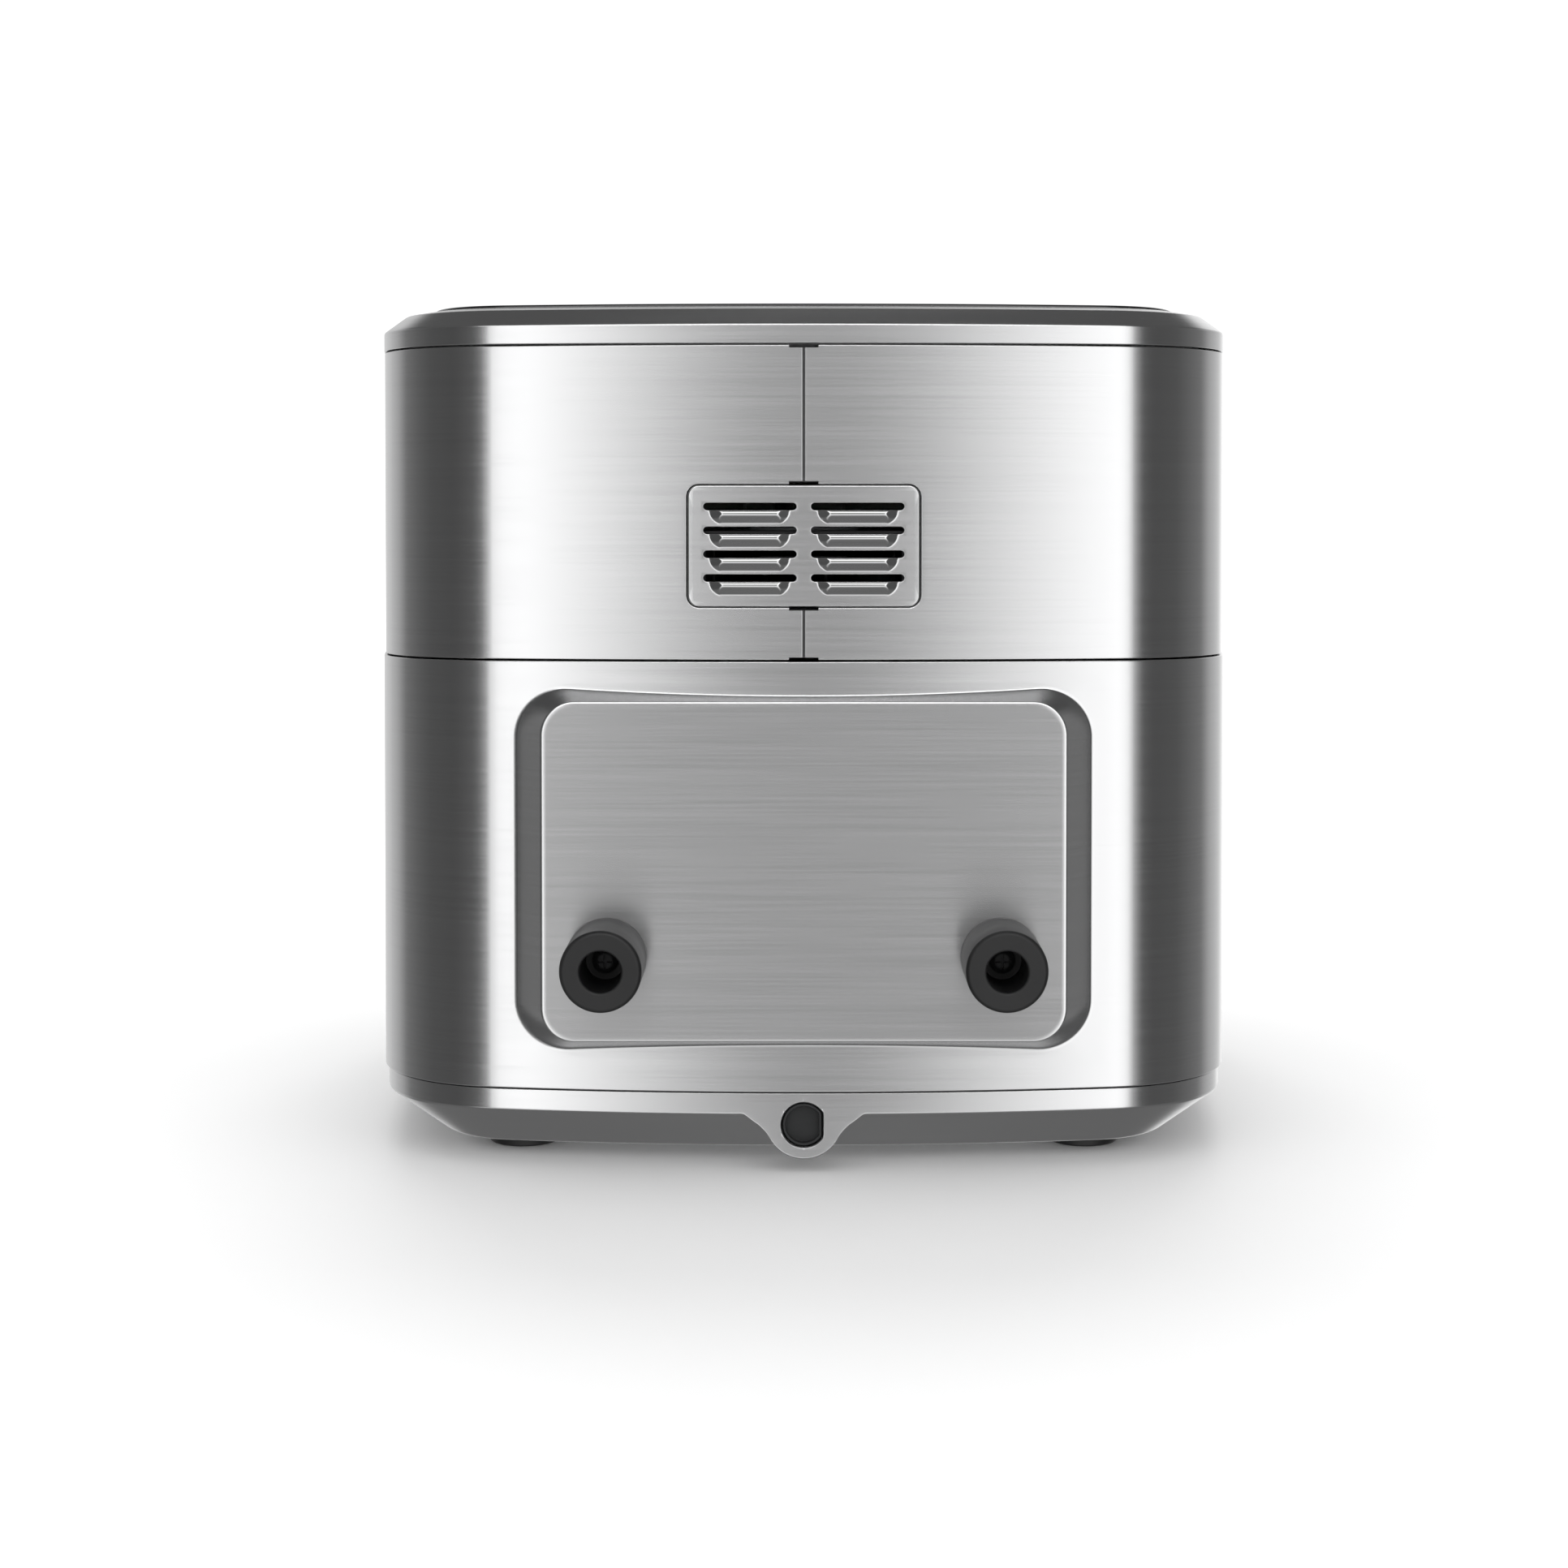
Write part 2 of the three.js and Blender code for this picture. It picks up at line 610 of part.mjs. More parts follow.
const knobRoles = [
  { side: -1, knob: 'knob_temperature', shaft: 'temperature_shaft', unit: 'thermostat', half: 14, deep: 24 },
  { side: 1, knob: 'knob_timer', shaft: 'timer_shaft', unit: 'mechanical_timer', half: 20, deep: 30 },
];
knobRoles.forEach(({ side, knob, shaft, unit, half, deep }) => {
  const pointer = new THREE.BoxGeometry(1.6, 1.2, KNOB_R).translate(0, KNOB_HEIGHT, KNOB_R / 2 + 1);
  const turnedKnob = atKnob(side, turned(knobProfile, 28));
  addPart(knob, cut(turnedKnob, atKnob(side, pointer)), 'matte_black');
  addPart(shaft, atKnob(side, bored(KNOB_SHAFT_R, -16, 13.7)), 'bright_steel');
  const unitBox = new THREE.BoxGeometry(2 * half, deep, 2 * half)
    .translate(0, -FASCIA_THICK - 1.4 - deep / 2, 0);
  addPart(
    unit,
    cut(atKnob(side, unitBox), atKnob(side, bored(KNOB_SHAFT_R + 0.08, -16.5, 0))),
    'white_plastic',
  );
});

// ---- Cooking chamber and its air unit -----------------------------------------------------------
const linerOutline = (inset, frontY) => roundedRect(
  -LINER_HALF + inset, frontY, LINER_HALF - inset, LINER_REAR_Y - inset, LINER_CORNER_R - inset, 4,
);
const chamberLiner = cut(
  prismZ(linerOutline(0, LINER_FRONT_Y - 40), LINER_LOW, LINER_HIGH),
  prismZ(linerOutline(LINER_WALL, LINER_FRONT_Y - 45), LINER_LOW + LINER_WALL, LINER_HIGH - LINER_WALL),
  block([-140, -200, 0], [140, LINER_FRONT_Y, 200]),
  rodZ(0, FAN_Y, HOT_HOLE_R, LINER_HIGH - 5, LINER_HIGH + 5, 32),
  rodY(SWITCH_X, SWITCH_Z, PLUNGER_R + GAP, 100, 120, 12),
);
addPart('chamber_liner', chamberLiner, 'galvanised');

const railLow = LINER_LOW + LINER_WALL + GAP;
['left', 'right'].forEach((side, i) => {
  const x = i === 0 ? -103 : 103;
  addPart(
    `drawer_rail_${side}`,
    block([x - 3, LINER_FRONT_Y + 6, railLow], [x + 3, 84, PAN_LOW - GAP]),
    'bright_steel',
  );
});

const elementLegs = [-ELEMENT_LEG_X, ELEMENT_LEG_X].map((x) => [
  x,
  FAN_Y - Math.sqrt(ELEMENT_RING_R ** 2 - ELEMENT_LEG_X ** 2),
]);
const housingFlangeLow = LINER_HIGH + GAP;
const fanHousing = cut(
  turnedZ([
    [6, HOUSING_TOP - 1.2], [HOUSING_R - 1.2, HOUSING_TOP - 1.2], [HOUSING_R - 1.2, housingFlangeLow],
    [HOUSING_R + 6, housingFlangeLow], [HOUSING_R + 6, housingFlangeLow + 1.2],
    [HOUSING_R, housingFlangeLow + 1.2], [HOUSING_R, HOUSING_TOP], [6, HOUSING_TOP],
  ], 0, FAN_Y, 32),
  block([-DUCT_HALF + 2, 60, DUCT_LOW + 2], [DUCT_HALF - 2, 100, DUCT_HIGH - 2]),
  ...elementLegs.map(([x, y]) => rodZ(x, y, ELEMENT_TUBE_R + GAP, HOUSING_TOP - 5, HOUSING_TOP + 5, 12)),
);
addPart('fan_housing', fanHousing, 'galvanised');

const exhaustDuct = cut(
  block([-DUCT_HALF, 70, DUCT_LOW], [DUCT_HALF, 150, DUCT_HIGH]),
  block([-DUCT_HALF + 1.2, 60, DUCT_LOW + 1.2], [DUCT_HALF - 1.2, 160, DUCT_HIGH - 1.2]),
  rodZ(0, FAN_Y, HOUSING_R + GAP, DUCT_LOW - 5, DUCT_HIGH + 5, 32),
);
addPart('exhaust_duct', exhaustDuct, 'blackened_steel');

const elementRing = new THREE.TorusGeometry(ELEMENT_RING_R, ELEMENT_TUBE_R, 8, 32);
elementRing.translate(0, FAN_Y, ELEMENT_Z);
const heatingElement = join(
  solidOf(elementRing),
  ...elementLegs.map(([x, y]) => rodZ(x, y, ELEMENT_TUBE_R, ELEMENT_Z, HOUSING_TOP + 12, 10)),
);
addPart('heating_element', heatingElement, 'element_alloy');

const guardLow = LINER_HIGH + GAP;
const guardRing = (outer, inner) => turnedZ([
  [inner, guardLow], [outer, guardLow], [outer, guardLow + 2], [inner, guardLow + 2],
], 0, FAN_Y, 24);
const guardBar = (angle) => {
  const geometry = new THREE.BoxGeometry(187, 2.2, 1.5).rotateZ(angle);
  return solidOf(geometry.translate(0, FAN_Y, guardLow + 1));
};
const elementGuard = join(
  guardRing(96, 92.5),
  guardRing(50, 47),
  ...[0, 1, 2, 3].map((i) => guardBar((i * Math.PI) / 4)),
);
addPart('element_guard', elementGuard, 'bright_steel');

/** Bladed wheel: a back disc, a hub and straight blades under the disc. */
function fanWheel({ radius, discLow, discHigh, bladeLow, hubR, blades, hubLow }) {
  const disc = turnedZ([
    [SHAFT_R + 0.05, hubLow], [hubR, hubLow], [hubR, discLow], [radius, discLow], [radius, discHigh],
    [SHAFT_R + 0.05, discHigh],
  ], 0, FAN_Y, 24);
  const vanes = Array.from({ length: blades }, (_, i) => {
    const angle = (2 * Math.PI * i) / blades;
    const length = radius - hubR - 4;
    const vane = new THREE.BoxGeometry(length, 1.2, discLow - bladeLow + 0.4);
    vane.rotateZ(0.35);
    vane.translate(hubR + 3 + length / 2, 0, (discLow + bladeLow + 0.4) / 2);
    vane.rotateZ(angle);
    return solidOf(vane.translate(0, FAN_Y, 0));
  });
  return join(disc, ...vanes);
}

addPart('convection_fan', fanWheel({
  radius: 62, discLow: 203, discHigh: 204.2, bladeLow: 190, hubR: 10, blades: 8, hubLow: 192,
}), 'galvanised');
addPart('cooling_fan', fanWheel({
  radius: 45, discLow: 232, discHigh: 233.5, bladeLow: 221, hubR: 8, blades: 7, hubLow: 219,
}), 'white_plastic');
addPart('motor_shaft', rodZ(0, FAN_Y, SHAFT_R, 184, 262, 16), 'bright_steel');
const nutOutline = Array.from({ length: 6 }, (_, i) => {
  const angle = (i * Math.PI) / 3;
  return [7 * Math.cos(angle), FAN_Y + 7 * Math.sin(angle)];
});
addPart(
  'fan_nut',
  cut(prismZ(nutOutline, 186.5, 191.7), rodZ(0, FAN_Y, SHAFT_R + 0.05, 180, 195)),
  'bright_steel',
);

const bracketFoot = HOUSING_TOP + GAP;
const motorBracket = cut(
  block([-70, FAN_Y - 14, bracketFoot], [70, FAN_Y + 14, 240]),
  block([-68, FAN_Y - 20, bracketFoot - 5], [68, FAN_Y + 20, 238]),
  rodZ(0, FAN_Y, 8, 230, 245),
);
addPart('motor_bracket', motorBracket, 'galvanised');
const motorHousing = turnedZ([
  [SHAFT_R + 0.08, 240.3], [26, 240.3], [32, 243], [32, 264], [26, 268], [0, 268], [0, 263],
  [SHAFT_R + 0.08, 263],
], 0, FAN_Y, 24);
addPart('motor_housing', motorHousing, 'cast_alloy');

const blockLow = BASE_BOTTOM + WALL + GAP;
addPart(
  'terminal_block',
  cut(
    block([-80, 96, blockLow], [-44, 116, blockLow + 15]),
    ...[-72, -62, -52].map((x) => rodZ(x, 106, 2.4, blockLow + 6, blockLow + 20, 10)),
  ),
  'white_plastic',
);
addPart(
  'drawer_switch',
  cut(
    block([SWITCH_X - 10, LINER_REAR_Y + GAP, SWITCH_Z - 9], [SWITCH_X + 10, LINER_REAR_Y + 14, SWITCH_Z + 9]),
    rodY(SWITCH_X, SWITCH_Z, PLUNGER_R + 0.1, 110, 122, 12),
  ),
  'matte_black',
);
addPart('switch_plunger', rodY(SWITCH_X, SWITCH_Z, PLUNGER_R, PAN_REAR_Y + 0.5, 120, 12), 'white_plastic');

// ---- Drawer, handle and crisper tray ------------------------------------------------------------
const panOutline = (inset) => roundedRect(
  -PAN_HALF + inset, PAN_FRONT_Y + inset, PAN_HALF - inset, PAN_REAR_Y - inset, PAN_CORNER_R - inset, 5,
);
addPart(
  'drawer_pan',
  cut(
    prismZ(panOutline(0), PAN_LOW, PAN_HIGH),
    prismZ(panOutline(PAN_WALL), PAN_LOW + PAN_WALL, PAN_HIGH + 5),
  ),
  'nonstick',
);

const handleScrewX = [-HANDLE_SCREW_X, HANDLE_SCREW_X];
const handleScrewZ = (HANDLE_LOW + HANDLE_HIGH) / 2;
const screwHeadY = FRONT_BACK_Y - 0.6;
const screwTipY = -174;
const drawerFront = cut(
  common(
    planSolid([[-FRONT_PROUD, 0], [-FRONT_PROUD, MIDDLE_SEAM]]),
    prismY(drawerBay(0.7), -165, FRONT_BACK_Y),
  ),
  ...handleScrewX.map((x) => rodY(x, handleScrewZ, 2.3, -170, -130, 12)),
  ...handleScrewX.map((x) => rodY(x, handleScrewZ, 4.5, screwHeadY - 3.3, -130, 12)),
);
addPart('drawer_front', drawerFront, 'brushed_steel');
handleScrewX.forEach((x, i) => {
  const profile = [
    [0, screwTipY], [2, screwTipY], [2, screwHeadY - 3], [4.2, screwHeadY - 3], [4.2, screwHeadY],
    [0, screwHeadY],
  ];
  addPart(`handle_screw_${i === 0 ? 'left' : 'right'}`, turnedY(profile, x, handleScrewZ, 12), 'bright_steel');
});

const gripFront = HANDLE_FRONT_Y + 0.8;
const gripSolid = cut(
  prismZ(
    roundedRect(-HANDLE_HALF, gripFront, HANDLE_HALF, -120, HANDLE_CORNER_R, 5),
    HANDLE_LOW,
    HANDLE_HIGH,
  ),
  prismZ(
    roundedRect(
      -HANDLE_HALF + HANDLE_POST, gripFront + HANDLE_BAR_DEPTH, HANDLE_HALF - HANDLE_POST, -100, 6, 4,
    ),
    HANDLE_LOW - 5,
    HANDLE_HIGH + 5,
  ),
  planSolid([[-FRONT_PROUD - GAP, 60], [-FRONT_PROUD - GAP, 140]]),
  block(
    [-TRIM_HALF - GAP, gripFront - 5, HANDLE_LOW + TRIM_MARGIN - GAP],
    [TRIM_HALF + GAP, gripFront + TRIM_THICK - 0.5, HANDLE_HIGH - TRIM_MARGIN + GAP],
  ),
  ...handleScrewX.map((x) => rodY(x, handleScrewZ, 2.3, screwTipY - 1, -130, 12)),
);
addPart('handle_grip', gripSolid, 'matte_black');
addPart(
  'handle_trim',
  block(
    [-TRIM_HALF, HANDLE_FRONT_Y, HANDLE_LOW + TRIM_MARGIN],
    [TRIM_HALF, HANDLE_FRONT_Y + TRIM_THICK, HANDLE_HIGH - TRIM_MARGIN],
  ),
  'brushed_steel',
);

const trayOutline = (inset) => {
  const margin = PAN_WALL + TRAY_MARGIN + inset;
  return roundedRect(
    -PAN_HALF + margin, PAN_FRONT_Y + margin, PAN_HALF - margin, PAN_REAR_Y - margin,
    PAN_CORNER_R - margin, 4,
  );
};
const trayMidY = (PAN_FRONT_Y + PAN_REAR_Y) / 2;
const traySlots = [-2, -1, 0, 1, 2].flatMap((column) => [-1, 0, 1].map((row) => {
  const x = column * 38;
  const y = trayMidY + row * 68;
  return prismZ(roundedRect(x - 4, y - 25, x + 4, y + 25, 3.9, 2), TRAY_LOW - 2, TRAY_LOW + 4);
}));
const crisperTray = cut(
  prismZ(trayOutline(0), TRAY_LOW, TRAY_LOW + TRAY_LIP),
  prismZ(trayOutline(TRAY_THICK), TRAY_LOW + TRAY_THICK, TRAY_LOW + TRAY_LIP + 5),
  ...traySlots,
);
addPart('crisper_tray', crisperTray, 'nonstick');

const trayEdgeX = PAN_HALF - PAN_WALL - TRAY_MARGIN;
const bumperNames = ['front_left', 'front_right', 'rear_left', 'rear_right'];
[[-1, -70], [1, -70], [-1, 70], [1, 70]].forEach(([side, along], i) => {
  const span = (u0, u1) => [Math.min(side * u0, side * u1), Math.max(side * u0, side * u1)];
  const [bodyLow, bodyHigh] = span(trayEdgeX - 5, PAN_HALF - PAN_WALL - 0.8);
  const [slotLow, slotHigh] = span(trayEdgeX - 12, trayEdgeX + GAP);
  const y = trayMidY + along;
  const bumper = cut(
    block([bodyLow, y - 8, PAN_LOW + PAN_WALL + GAP], [bodyHigh, y + 8, TRAY_LOW + TRAY_LIP]),
    block([slotLow, y - 12, TRAY_LOW - GAP], [slotHigh, y + 12, TRAY_LOW + TRAY_LIP + 5]),
  );
  addPart(`tray_bumper_${bumperNames[i]}`, bumper, 'silicone');
});

export default root;
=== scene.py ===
"""Visible model of the countertop air fryer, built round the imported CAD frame.

Shapes are worked out in millimetres in the body's own frame, with the plan centre at the origin, and
turned into the row frame's metres when each mesh is made. +Z is up, and the rear, with the vent, the
stand-offs and the cord inlet, faces +Y."""

import math

import bmesh
import bpy
import numpy as np
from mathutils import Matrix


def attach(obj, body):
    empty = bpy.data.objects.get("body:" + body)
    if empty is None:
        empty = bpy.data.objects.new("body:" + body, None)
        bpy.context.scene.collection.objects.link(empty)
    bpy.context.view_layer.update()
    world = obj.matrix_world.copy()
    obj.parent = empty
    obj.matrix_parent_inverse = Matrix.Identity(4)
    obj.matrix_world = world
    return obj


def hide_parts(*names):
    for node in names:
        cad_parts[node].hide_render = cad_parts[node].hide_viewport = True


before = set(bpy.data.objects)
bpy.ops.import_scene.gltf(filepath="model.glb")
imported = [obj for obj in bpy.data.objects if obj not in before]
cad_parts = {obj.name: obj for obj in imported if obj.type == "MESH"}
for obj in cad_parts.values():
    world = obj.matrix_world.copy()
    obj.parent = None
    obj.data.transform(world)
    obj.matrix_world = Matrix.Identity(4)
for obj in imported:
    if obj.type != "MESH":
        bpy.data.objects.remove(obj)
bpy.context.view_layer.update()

MM = 0.001
SHIFT_Y = 8.0  # the body's plan centre lies this far behind the row frame's origin

# ---------- plan outline
CORNER_R = 50.0
CORNER_CENTRE = 97.5
BOW_CENTRE = 535.0
BOW_R = math.hypot(CORNER_CENTRE, BOW_CENTRE + CORNER_CENTRE) + CORNER_R
BOW_ANGLE = math.atan2(CORNER_CENTRE, BOW_CENTRE + CORNER_CENTRE)
HALF_SIDE = BOW_R * BOW_ANGLE
CORNER_ARC = CORNER_R * (math.pi / 2 - 2 * BOW_ANGLE)
QUARTER = 2 * HALF_SIDE + CORNER_ARC
PERIMETER = 4 * QUARTER
BRUSH_RADIUS = 0.155  # metres; turns the angle round the body into a length along the brushing


def outline(s, inset=0.0):
    """Point of the plan at arc length s from the rear's centre, growing towards +X."""
    quarter, along = divmod((s + HALF_SIDE) % PERIMETER, QUARTER)
    if along <= 2 * HALF_SIDE:
        angle = along / BOW_R - BOW_ANGLE
        x = (BOW_R - inset) * math.sin(angle)
        y = (BOW_R - inset) * math.cos(angle) - BOW_CENTRE
    else:
        angle = BOW_ANGLE + (along - 2 * HALF_SIDE) / CORNER_R
        x = CORNER_CENTRE + (CORNER_R - inset) * math.sin(angle)
        y = CORNER_CENTRE + (CORNER_R - inset) * math.cos(angle)
    for _ in range(int(quarter)):
        x, y = y, -x
    return x, y


def s_at(x):
    """Arc length from the centre of a side to the place where the outline is x off centre."""
    a = abs(x)
    limit = BOW_R * math.sin(BOW_ANGLE)
    if a <= limit:
        s = BOW_R * math.asin(a / BOW_R)
    else:
        s = HALF_SIDE + CORNER_R * (math.asin((a - CORNER_CENTRE) / CORNER_R) - BOW_ANGLE)
    return math.copysign(s, x)


def rear_y(x, inset=0.0):
    """y of the bowed rear side at x."""
    return math.sqrt((BOW_R - inset) ** 2 - x * x) - BOW_CENTRE


def filled(values, step):
    """Sorted values with extra ones between them, so that no gap is wider than step."""
    values = sorted(set(round(v, 6) for v in values))
    out = [values[0]]
    for low, high in zip(values, values[1:]):
        n = max(1, math.ceil((high - low) / step - 1e-9))
        out += [low + (high - low) * i / n for i in range(1, n + 1)]
    return out


def round_path(points, radii, steps=6, closed=True):
    """A polyline with its corners rounded: radii gives one radius per point."""
    out = []
    n = len(points)
    for i, (p, r) in enumerate(zip(points, radii)):
        if r <= 0 or (not closed and i in (0, n - 1)):
            out.append(tuple(p))
            continue
        p = np.array(p, float)
        a = np.array(points[i - 1], float) - p
        b = np.array(points[(i + 1) % n], float) - p
        la, lb = np.linalg.norm(a), np.linalg.norm(b)
        a, b = a / la, b / lb
        half = math.acos(max(-1, min(1, float(a @ b)))) / 2
        reach = min(r / math.tan(half), la * 0.49, lb * 0.49)
        radius = reach * math.tan(half)
        centre = p + (a + b) / np.linalg.norm(a + b) * (radius / math.sin(half))
        start, end = p + a * reach - centre, p + b * reach - centre
        turn = math.pi - 2 * half
        side = np.sign(start[0] * end[1] - start[1] * end[0])
        for k in range(steps + 1):
            t = side * turn * k / steps
            c, d = math.cos(t), math.sin(t)
            out.append((centre[0] + c * start[0] - d * start[1], centre[1] + d * start[0] + c * start[1]))
    return out


# ---------- mesh building
class Surface:
    """Points and faces of one mesh; equal points are shared."""

    def __init__(self):
        self.points, self.index, self.faces = [], {}, []

    def point(self, p):
        key = (round(p[0] * 4000), round(p[1] * 4000), round(p[2] * 4000))
        if key not in self.index:
            self.index[key] = len(self.points)
            self.points.append(tuple(p))
        return self.index[key]

    def face(self, *corners):
        ids = []
        for c in corners:
            i = self.point(c)
            if i not in ids:
                ids.append(i)
        if len(ids) > 2:
            self.faces.append(ids)

    def strip(self, a, b, closed=True):
        n = len(a)
        for i in range(n if closed else n - 1):
            j = (i + 1) % n
            self.face(a[i], a[j], b[j], b[i])

    def loft(self, rings, cap_first=False, cap_last=False):
        for a, b in zip(rings, rings[1:]):
            self.strip(a, b)
        if cap_first:
            self.fan(rings[0])
        if cap_last:
            self.fan(rings[-1])

    def fan(self, ring, centre=None):
        if centre is None:
            centre = tuple(sum(p[k] for p in ring) / len(ring) for k in range(3))
        for i in range(len(ring)):
            self.face(ring[i], ring[(i + 1) % len(ring)], centre)


def to_mesh(name, surface):
    mesh = bpy.data.meshes.new(name)
    points = [(x * MM, (y + SHIFT_Y) * MM, z * MM) for x, y, z in surface.points]
    mesh.from_pydata(points, [], surface.faces)
    bm = bmesh.new()
    bm.from_mesh(mesh)
    bmesh.ops.recalc_face_normals(bm, faces=bm.faces)
    bm.to_mesh(mesh)
    bm.free()
    obj = bpy.data.objects.new(name, mesh)
    bpy.context.scene.collection.objects.link(obj)
    return obj


def brush_map(obj, rise=0.0):
    """UV map whose first direction runs across the brushing: up the walls, and in over a sloping rim."""
    mesh = obj.data
    layer = mesh.uv_layers.new(name="Brush")
    count = len(mesh.loops)
    corner = np.zeros(count, np.int32)
    mesh.loops.foreach_get("vertex_index", corner)
    co = np.zeros(len(mesh.vertices) * 3)
    mesh.vertices.foreach_get("co", co)
    co = co.reshape(-1, 3)
    co[:, 1] -= SHIFT_Y * MM
    totals = np.zeros(len(mesh.polygons), np.int32)
    mesh.polygons.foreach_get("loop_total", totals)
    owner = np.repeat(np.arange(len(totals)), totals)
    theta = np.arctan2(co[:, 0], co[:, 1])[corner]
    first = theta[np.concatenate([[0], np.cumsum(totals)[:-1]])][owner]
    theta = first + (theta - first + math.pi) % (2 * math.pi) - math.pi
    a, b = np.abs(co[:, 0]) / MM, np.abs(co[:, 1]) / MM
    a, b = np.minimum(a, b), np.maximum(a, b)
    side = np.arctan2(a, b + BOW_CENTRE) <= BOW_ANGLE
    inset = np.where(
        side,
        BOW_R - np.hypot(a, b + BOW_CENTRE),
        CORNER_R - np.hypot(a - CORNER_CENTRE, b - CORNER_CENTRE),
    )
    u = (co[:, 2] + rise * inset * MM)[corner]
    uv = np.stack([u, theta * BRUSH_RADIUS], axis=1)
    layer.data.foreach_set("uv", uv.astype(np.float32).ravel())


def cut_with(obj, *cutters):
    """Takes closed cutters out of a closed piece, and removes the cutters."""
    for cutter in cutters:
        mod = obj.modifiers.new("Cut", "BOOLEAN")
        mod.operation, mod.solver, mod.object = "DIFFERENCE", "EXACT", cutter
    settle(obj)
    for cutter in cutters:
        bpy.data.objects.remove(cutter)


def settle(obj):
    """Applies the modifiers so far."""
    bpy.context.view_layer.update()
    done = obj.evaluated_get(bpy.context.evaluated_depsgraph_get())
    mesh = bpy.data.meshes.new_from_object(done)
    obj.modifiers.clear()
    obj.data = mesh


def box(name, low, high, bevel=0.0, steps=3):
    """Box in body-frame millimetres, with rounded edges if bevel is given."""
    s = Surface()
    (x0, y0, z0), (x1, y1, z1) = low, high
    c = [(x, y, z) for z in (z0, z1) for x, y in ((x0, y0), (x1, y0), (x1, y1), (x0, y1))]
    s.loft([c[:4], c[4:]])
    s.face(*c[:4])
    s.face(*c[4:])
    obj = to_mesh(name, s)
    if bevel:
        bevelled(obj, bevel, steps)
        settle(obj)
    return obj


def bevelled(obj, width, steps=3, angle=35):
    mod = obj.modifiers.new("Bevel", "BEVEL")
    mod.width, mod.segments, mod.limit_method = width * MM, steps, "ANGLE"
    mod.angle_limit, mod.harden_normals = math.radians(angle), False


def turned(name, profile, place, count=64, flute=None):
    """Turned piece from a closed [radius, height] profile. place(x, height, z) puts a local point in the
    body; flute(radius, height, angle) may change the radius."""
    rings = []
    for k in range(count):
        a = 2 * math.pi * k / count
        ring = []
        for r, h in profile:
            q = flute(r, h, a) if flute else r
            ring.append(place(q * math.cos(a), h, q * math.sin(a)))
        rings.append(ring)
    s = Surface()
    for k in range(count):
        s.strip(rings[k], rings[(k + 1) % count])
    return to_mesh(name, s)


def along_y(x, y, z):
    """Places a turned piece with its axis along +Y."""
    return lambda u, h, w: (x + u, y + h, z + w)


def along_z(x, y, z):
    """Places a turned piece with its axis along +Z."""
    return lambda u, h, w: (x + u, y + w, z + h)


# ---------- rounded rectangles and sheets with holes
ARC_WEIGHT = 3.0  # corners get this many times the points of a straight run of the same length


class Rounded:
    """Rounded rectangle whose points are picked by side and share along it, at any growth."""

    def __init__(self, u0, v0, u1, v1, radius):
        self.u0, self.v0, self.u1, self.v1, self.radius = u0, v0, u1, v1, radius

    def code(self, side, share):
        run = ((self.u1 - self.u0) if side % 2 == 0 else (self.v1 - self.v0)) - 2 * self.radius
        arc = self.radius * math.pi / 4 * ARC_WEIGHT
        at = share * (run + 2 * arc)
        if at < arc:
            return side, "start", at / arc
        if at > run + arc:
            return side, "end", min(1.0, (at - run - arc) / arc)
        return side, "run", (at - arc) / run if run > 0 else 0.5

    def at(self, code, grow=0.0):
        side, part, t = code
        r = self.radius + grow
        u0, v0, u1, v1 = self.u0 - grow, self.v0 - grow, self.u1 + grow, self.v1 + grow
        centres = [(u0 + r, v0 + r), (u1 - r, v0 + r), (u1 - r, v1 - r), (u0 + r, v1 - r)]
        base = -math.pi / 2 + side * math.pi / 2
        first, last = centres[side], centres[(side + 1) % 4]
        if part == "start":
            angle, centre = base - math.pi / 4 * (1 - t), first
        elif part == "end":
            angle, centre = base + math.pi / 4 * t, last
        else:
            angle = base
            centre = (first[0] + (last[0] - first[0]) * t, first[1] + (last[1] - first[1]) * t)
        return centre[0] + r * math.cos(angle), centre[1] + r * math.sin(angle)

    def codes(self, n_u, n_v):
        """Evenly shared codes, for a piece that has no grid to join."""
        out = []
        for side, n in enumerate((n_u, n_v, n_u, n_v)):
            out += [self.code(side, k / n) for k in range(n)]
        return out


def boundary_codes(shape, us, vs, rect):
    """Corners of the grid cells round a rectangular hole, anticlockwise, each with its code on the shape."""
    i0, i1, j0, j1 = rect
    u0, u1, v0, v1 = us[i0], us[i1], vs[j0], vs[j1]
    points, codes = [], []
    for i in range(i0, i1):
        points.append((us[i], v0))
        codes.append(shape.code(0, (us[i] - u0) / (u1 - u0)))
    for j in range(j0, j1):
        points.append((u1, vs[j]))
        codes.append(shape.code(1, (vs[j] - v0) / (v1 - v0)))
    for i in range(i1, i0, -1):
        points.append((us[i], v1))
        codes.append(shape.code(2, (u1 - us[i]) / (u1 - u0)))
    for j in range(j1, j0, -1):
        points.append((u0, vs[j]))
        codes.append(shape.code(3, (v1 - vs[j]) / (v1 - v0)))
    return points, codes


EDGE_STEPS = 5


def rolled(depth_to, radius):
    """(growth, depth) pairs round an edge from the face to the full depth."""
    turn = [math.pi / 2 * k / EDGE_STEPS for k in range(EDGE_STEPS + 1)]
    pairs = [(radius * (1 - math.sin(t)), radius * (1 - math.cos(t))) for t in turn]
    return pairs + [(0.0, depth_to)]


